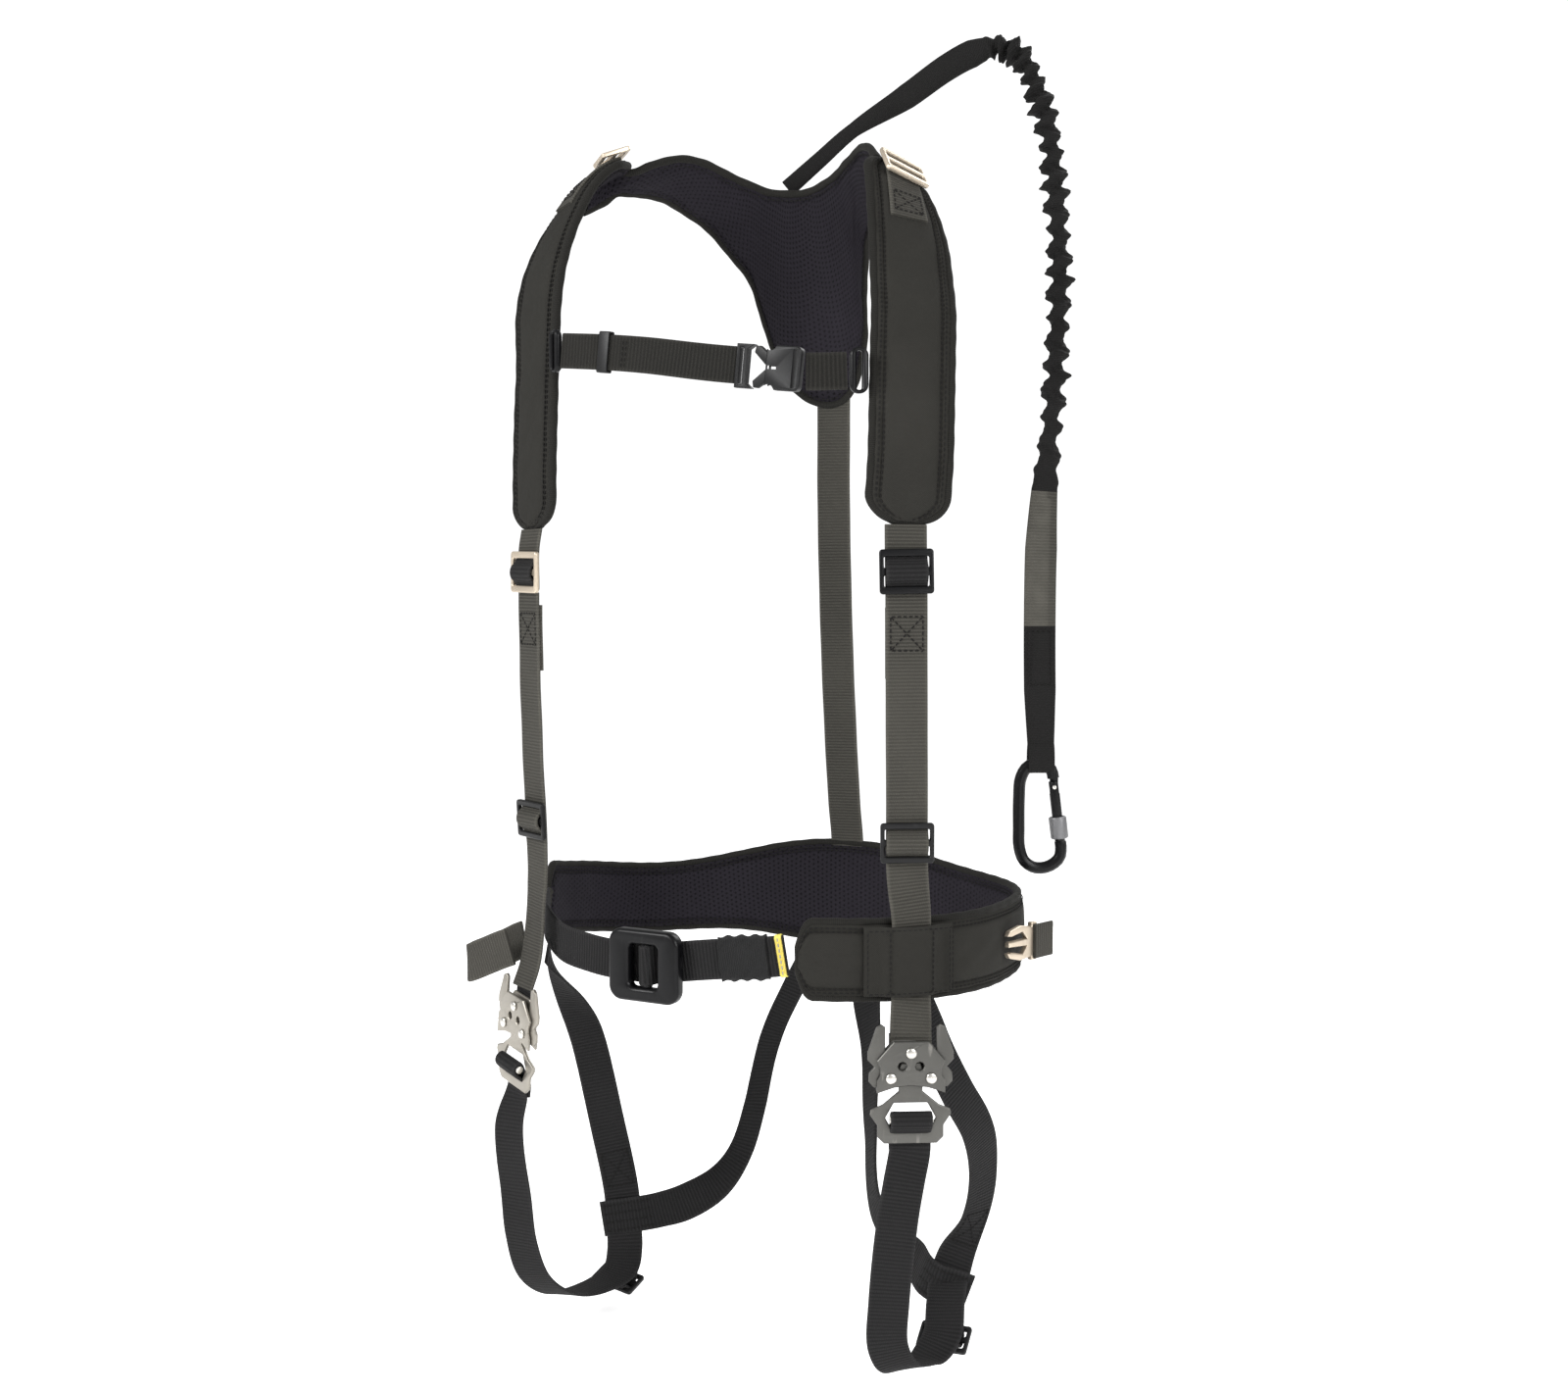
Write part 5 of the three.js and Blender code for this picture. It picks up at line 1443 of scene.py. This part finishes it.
@dataclass
class LegLoop:
    """One leg's straps, its quick-connect buckle and its slider."""

    side: Side

    def buckle_frame(self) -> tuple[Array, Array, Array, Array]:
        """The buckle's origin, across, up and outward directions."""
        left = self.side is Side.LEFT
        turn = TURN if left else -TURN
        out = np.array([math.sin(turn), -math.cos(turn), 0.0])
        flat = np.array([math.cos(turn), math.sin(turn), 0.0])
        lean = 0.0 if left else -0.14
        across = flat * math.cos(lean) + np.cross(out, flat) * math.sin(lean)
        origin = np.array([0.135, -0.101, -0.56] if left else [-0.139, -0.101, -0.558])
        return origin, across, np.cross(out, across), out

    def thigh_path(self) -> Path:
        """The thigh strap from its fold round the buckle's bar, down and under the leg."""
        origin, across, up, out = self.buckle_frame()
        fold = [(-0.05, -0.0048), (-0.041, -0.0046), (-0.035, -0.0018), (-0.0305, 0.0003)]
        fold += [(-0.0264, 0.0024), (-0.0256, 0.0046), (-0.0278, 0.0074), (-0.0312, 0.0078)]
        fold += [(-0.0344, 0.0052), (-0.0372, 0.0012), (-0.0415, -0.0022), (-0.05, -0.0024)]
        rows = [(*(origin + up * y + out * z), *across) for y, z in fold]
        return Path.through([*rows, *THIGH[self.side]], 0.0015)

    def build(self) -> None:
        """Makes the straps, dresses the buckle and adds patches and stitches."""
        word = self.side.word
        male = "leg_male_" + word
        thigh = self.thigh_path()
        bend = Bend(male, THIGH[self.side][2][:3], THIGH[self.side][0][:3])
        strap("thigh_web_" + word, thigh, WEBBING_DARK, "thigh_strap_" + word, bend=bend)
        outer, seat = Path.through(OUTER_LEG[self.side]), Path.through(SEAT[self.side])
        strap("outer_leg_web_" + word, outer, WEBBING_DARK, "outer_leg_strap_" + word)
        strap("seat_web_" + word, seat, WEBBING_DARK, "seat_strap_" + word)
        origin, across, up, out = self.buckle_frame()
        behind = [(*(origin + up * y - out * 0.0054), *across) for y in (0.02, 0.01, 0.0, -0.012)]
        strap("leg_backing_web_" + word, Path.through(behind), WEBBING_DARK)
        slider = np.array(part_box("leg_slider_" + word)).mean(axis=0)
        near = int(np.argmin(np.linalg.norm(thigh.centre - slider, axis=1)))
        rise = float((slider - thigh.centre[near]) @ thigh.out[near])
        top, foot = rise + math.copysign(0.0022, rise), math.copysign(0.0012, rise)
        arch = folded(thigh, float(thigh.length[near]), top, foot)
        make("leg_slider_fold_" + word, [arch], [WEBBING_DARK], "leg_slider_" + word)
        ending = float(seat.length[-1])
        sewing = []
        for face in (1, -1):
            for x in (-0.009, -0.003, 0.003, 0.009):
                sewing.append(sewn(seat, [(x, ending - 0.036), (x, ending - 0.002)], face * 0.0012))
        sewing += box_stitch(outer, float(outer.length[-1]) - 0.05, float(outer.length[-1]) - 0.026, 0.0012)
        make("leg_stitching_" + word, sewing, [THREAD], "root")
        metal = GUNMETAL if self.side is Side.LEFT else SILVER
        for piece in ("front_plate", "back_plate"):
            polished(f"leg_buckle_{word}_{piece}", metal, "root")
        for piece in ("lever_outer", "lever_inner"):
            polished(f"leg_buckle_{word}_{piece}", metal, f"leg_{word}_{piece}")
        polished(f"leg_buckle_{word}_male_plate", metal, male)
        polished(f"leg_buckle_{word}_bar", STEEL, male)
        polished("leg_slider_" + word, PLASTIC, "leg_slider_" + word)
        self.rivets()

    def rivets(self) -> None:
        """Bright domed caps on the buckle's three rivets: h = 1.1 mm * (1 - (r / 3 mm) ** 2) ** 0.5."""
        origin, across, up, out = self.buckle_frame()
        r = np.array([0.0031, 0.0030, 0.0026, 0.0019, 0.0010, 0.0002])
        lift = 0.0044 + 0.0011 * np.sqrt(1 - (r / 0.0032) ** 2)
        shells = []
        for x, y in ((0.0, 0.010), (0.012, -0.005), (-0.012, -0.005)):
            middle = origin + across * x + up * y
            heights = np.concatenate([[0.0040], lift])
            radii = np.concatenate([[0.0031], r])
            path = Path.framed(middle + np.outer(heights + np.arange(7) * 1e-7, out), np.tile(across, (7, 1)))
            shells.append(carry(path, *oval(radii, radii, 20)))
        make("leg_rivets_" + self.side.word, shells, [STEEL], "root")


# How strongly the white surround lights the object, and how bright the camera sees it.
SURROUND_LIGHT = 0.55
SURROUND_SEEN = 1.12


@dataclass
class Studio:
    """A pale floor, a white surround, soft lamps and the camera."""

    eye: tuple[float, float, float] = (0.5283, -1.1329, -0.27)
    lens: float = 43.27
    yaw: float = 0.238
    pitch: float = 3.586
    floor: float = -0.775

    def camera(self) -> None:
        """Puts the camera at eye height, a little to the wearer's left of straight ahead."""
        turn = math.radians(25)
        ahead = np.array([-math.sin(turn), math.cos(turn), 0.0])
        right = np.array([math.cos(turn), math.sin(turn), 0.0])
        yaw, pitch = math.radians(self.yaw), math.radians(self.pitch)
        level = ahead * math.cos(yaw) + right * math.sin(yaw)
        look = level * math.cos(pitch) + np.array([0, 0, -math.sin(pitch)])
        data = bpy.data.cameras.new("camera")
        data.lens, data.sensor_width, data.sensor_fit = self.lens, 36.0, "HORIZONTAL"
        data.clip_start = 0.01
        camera = bpy.data.objects.new("camera", data)
        camera.location = self.eye
        camera.rotation_euler = Vector(look).to_track_quat("-Z", "Y").to_euler()
        bpy.context.collection.objects.link(camera)
        bpy.context.scene.camera = camera

    def lamp(self, name: str, place: tuple, size: float, watts: float) -> None:
        """Adds a square lamp that faces the harness."""
        data = bpy.data.lights.new(name, "AREA")
        data.energy, data.size = watts, size
        lamp = bpy.data.objects.new(name, data)
        lamp.location = place
        lamp.rotation_euler = (Vector((0, 0, -0.35)) - Vector(place)).to_track_quat("-Z", "Y").to_euler()
        bpy.context.collection.objects.link(lamp)

    def build(self) -> None:
        """Makes the floor, the surround and the lamps."""
        mesh = bpy.data.meshes.new("floor")
        reach = 6.0
        corners = [(reach * x, reach * y, self.floor) for x, y in ((-1, -1), (1, -1), (1, 1), (-1, 1))]
        mesh.from_pydata(corners, [], [(0, 1, 2, 3)])
        s = Shader("pale_floor")
        white, glow = (0.97, 0.97, 0.97, 1.0), (1.0, 1.0, 1.0, 1.0)
        matt = {"Roughness": 0.9, "Specular_IOR_Level": 0.0}
        mesh.materials.append(s.finish(Base_Color=white, Emission_Color=glow, Emission_Strength=0.5, **matt))
        floor = bpy.data.objects.new("floor", mesh)
        bpy.context.collection.objects.link(floor)
        world = bpy.data.worlds.new("surround")
        world.use_nodes = True
        nodes, links = world.node_tree.nodes, world.node_tree.links
        background = nodes["Background"]
        background.inputs["Color"].default_value = (1, 1, 1, 1)
        paths = nodes.new("ShaderNodeLightPath")
        strength = nodes.new("ShaderNodeMapRange")
        strength.inputs["To Min"].default_value = SURROUND_LIGHT
        strength.inputs["To Max"].default_value = SURROUND_SEEN
        links.new(paths.outputs["Is Camera Ray"], strength.inputs["Value"])
        links.new(strength.outputs["Result"], background.inputs["Strength"])
        bpy.context.scene.world = world
        bpy.context.scene.view_settings.view_transform = "Standard"
        self.lamp("key_lamp", (-1.1, -1.8, 0.7), 0.9, 52.0)
        self.lamp("fill_lamp", (1.9, -1.0, 0.5), 1.1, 34.0)
        self.lamp("rear_lamp", (0.6, 1.7, 1.1), 1.2, 26.0)


def main() -> None:
    """Builds the studio and every sub-assembly, and reports each piece."""
    logging.basicConfig(level=logging.INFO, format="%(message)s")
    studio = Studio()
    studio.camera()
    Tether().build()
    studio.build()
    Yoke().build()
    for side in Side:
        ShoulderPad(side).build()
        FrontStrap(side).build()
    Belt().build()
    SideFittings().build()
    ChestStrap().build()
    for side in Side:
        LegLoop(side).build()


if __name__ == "__main__":
    main()
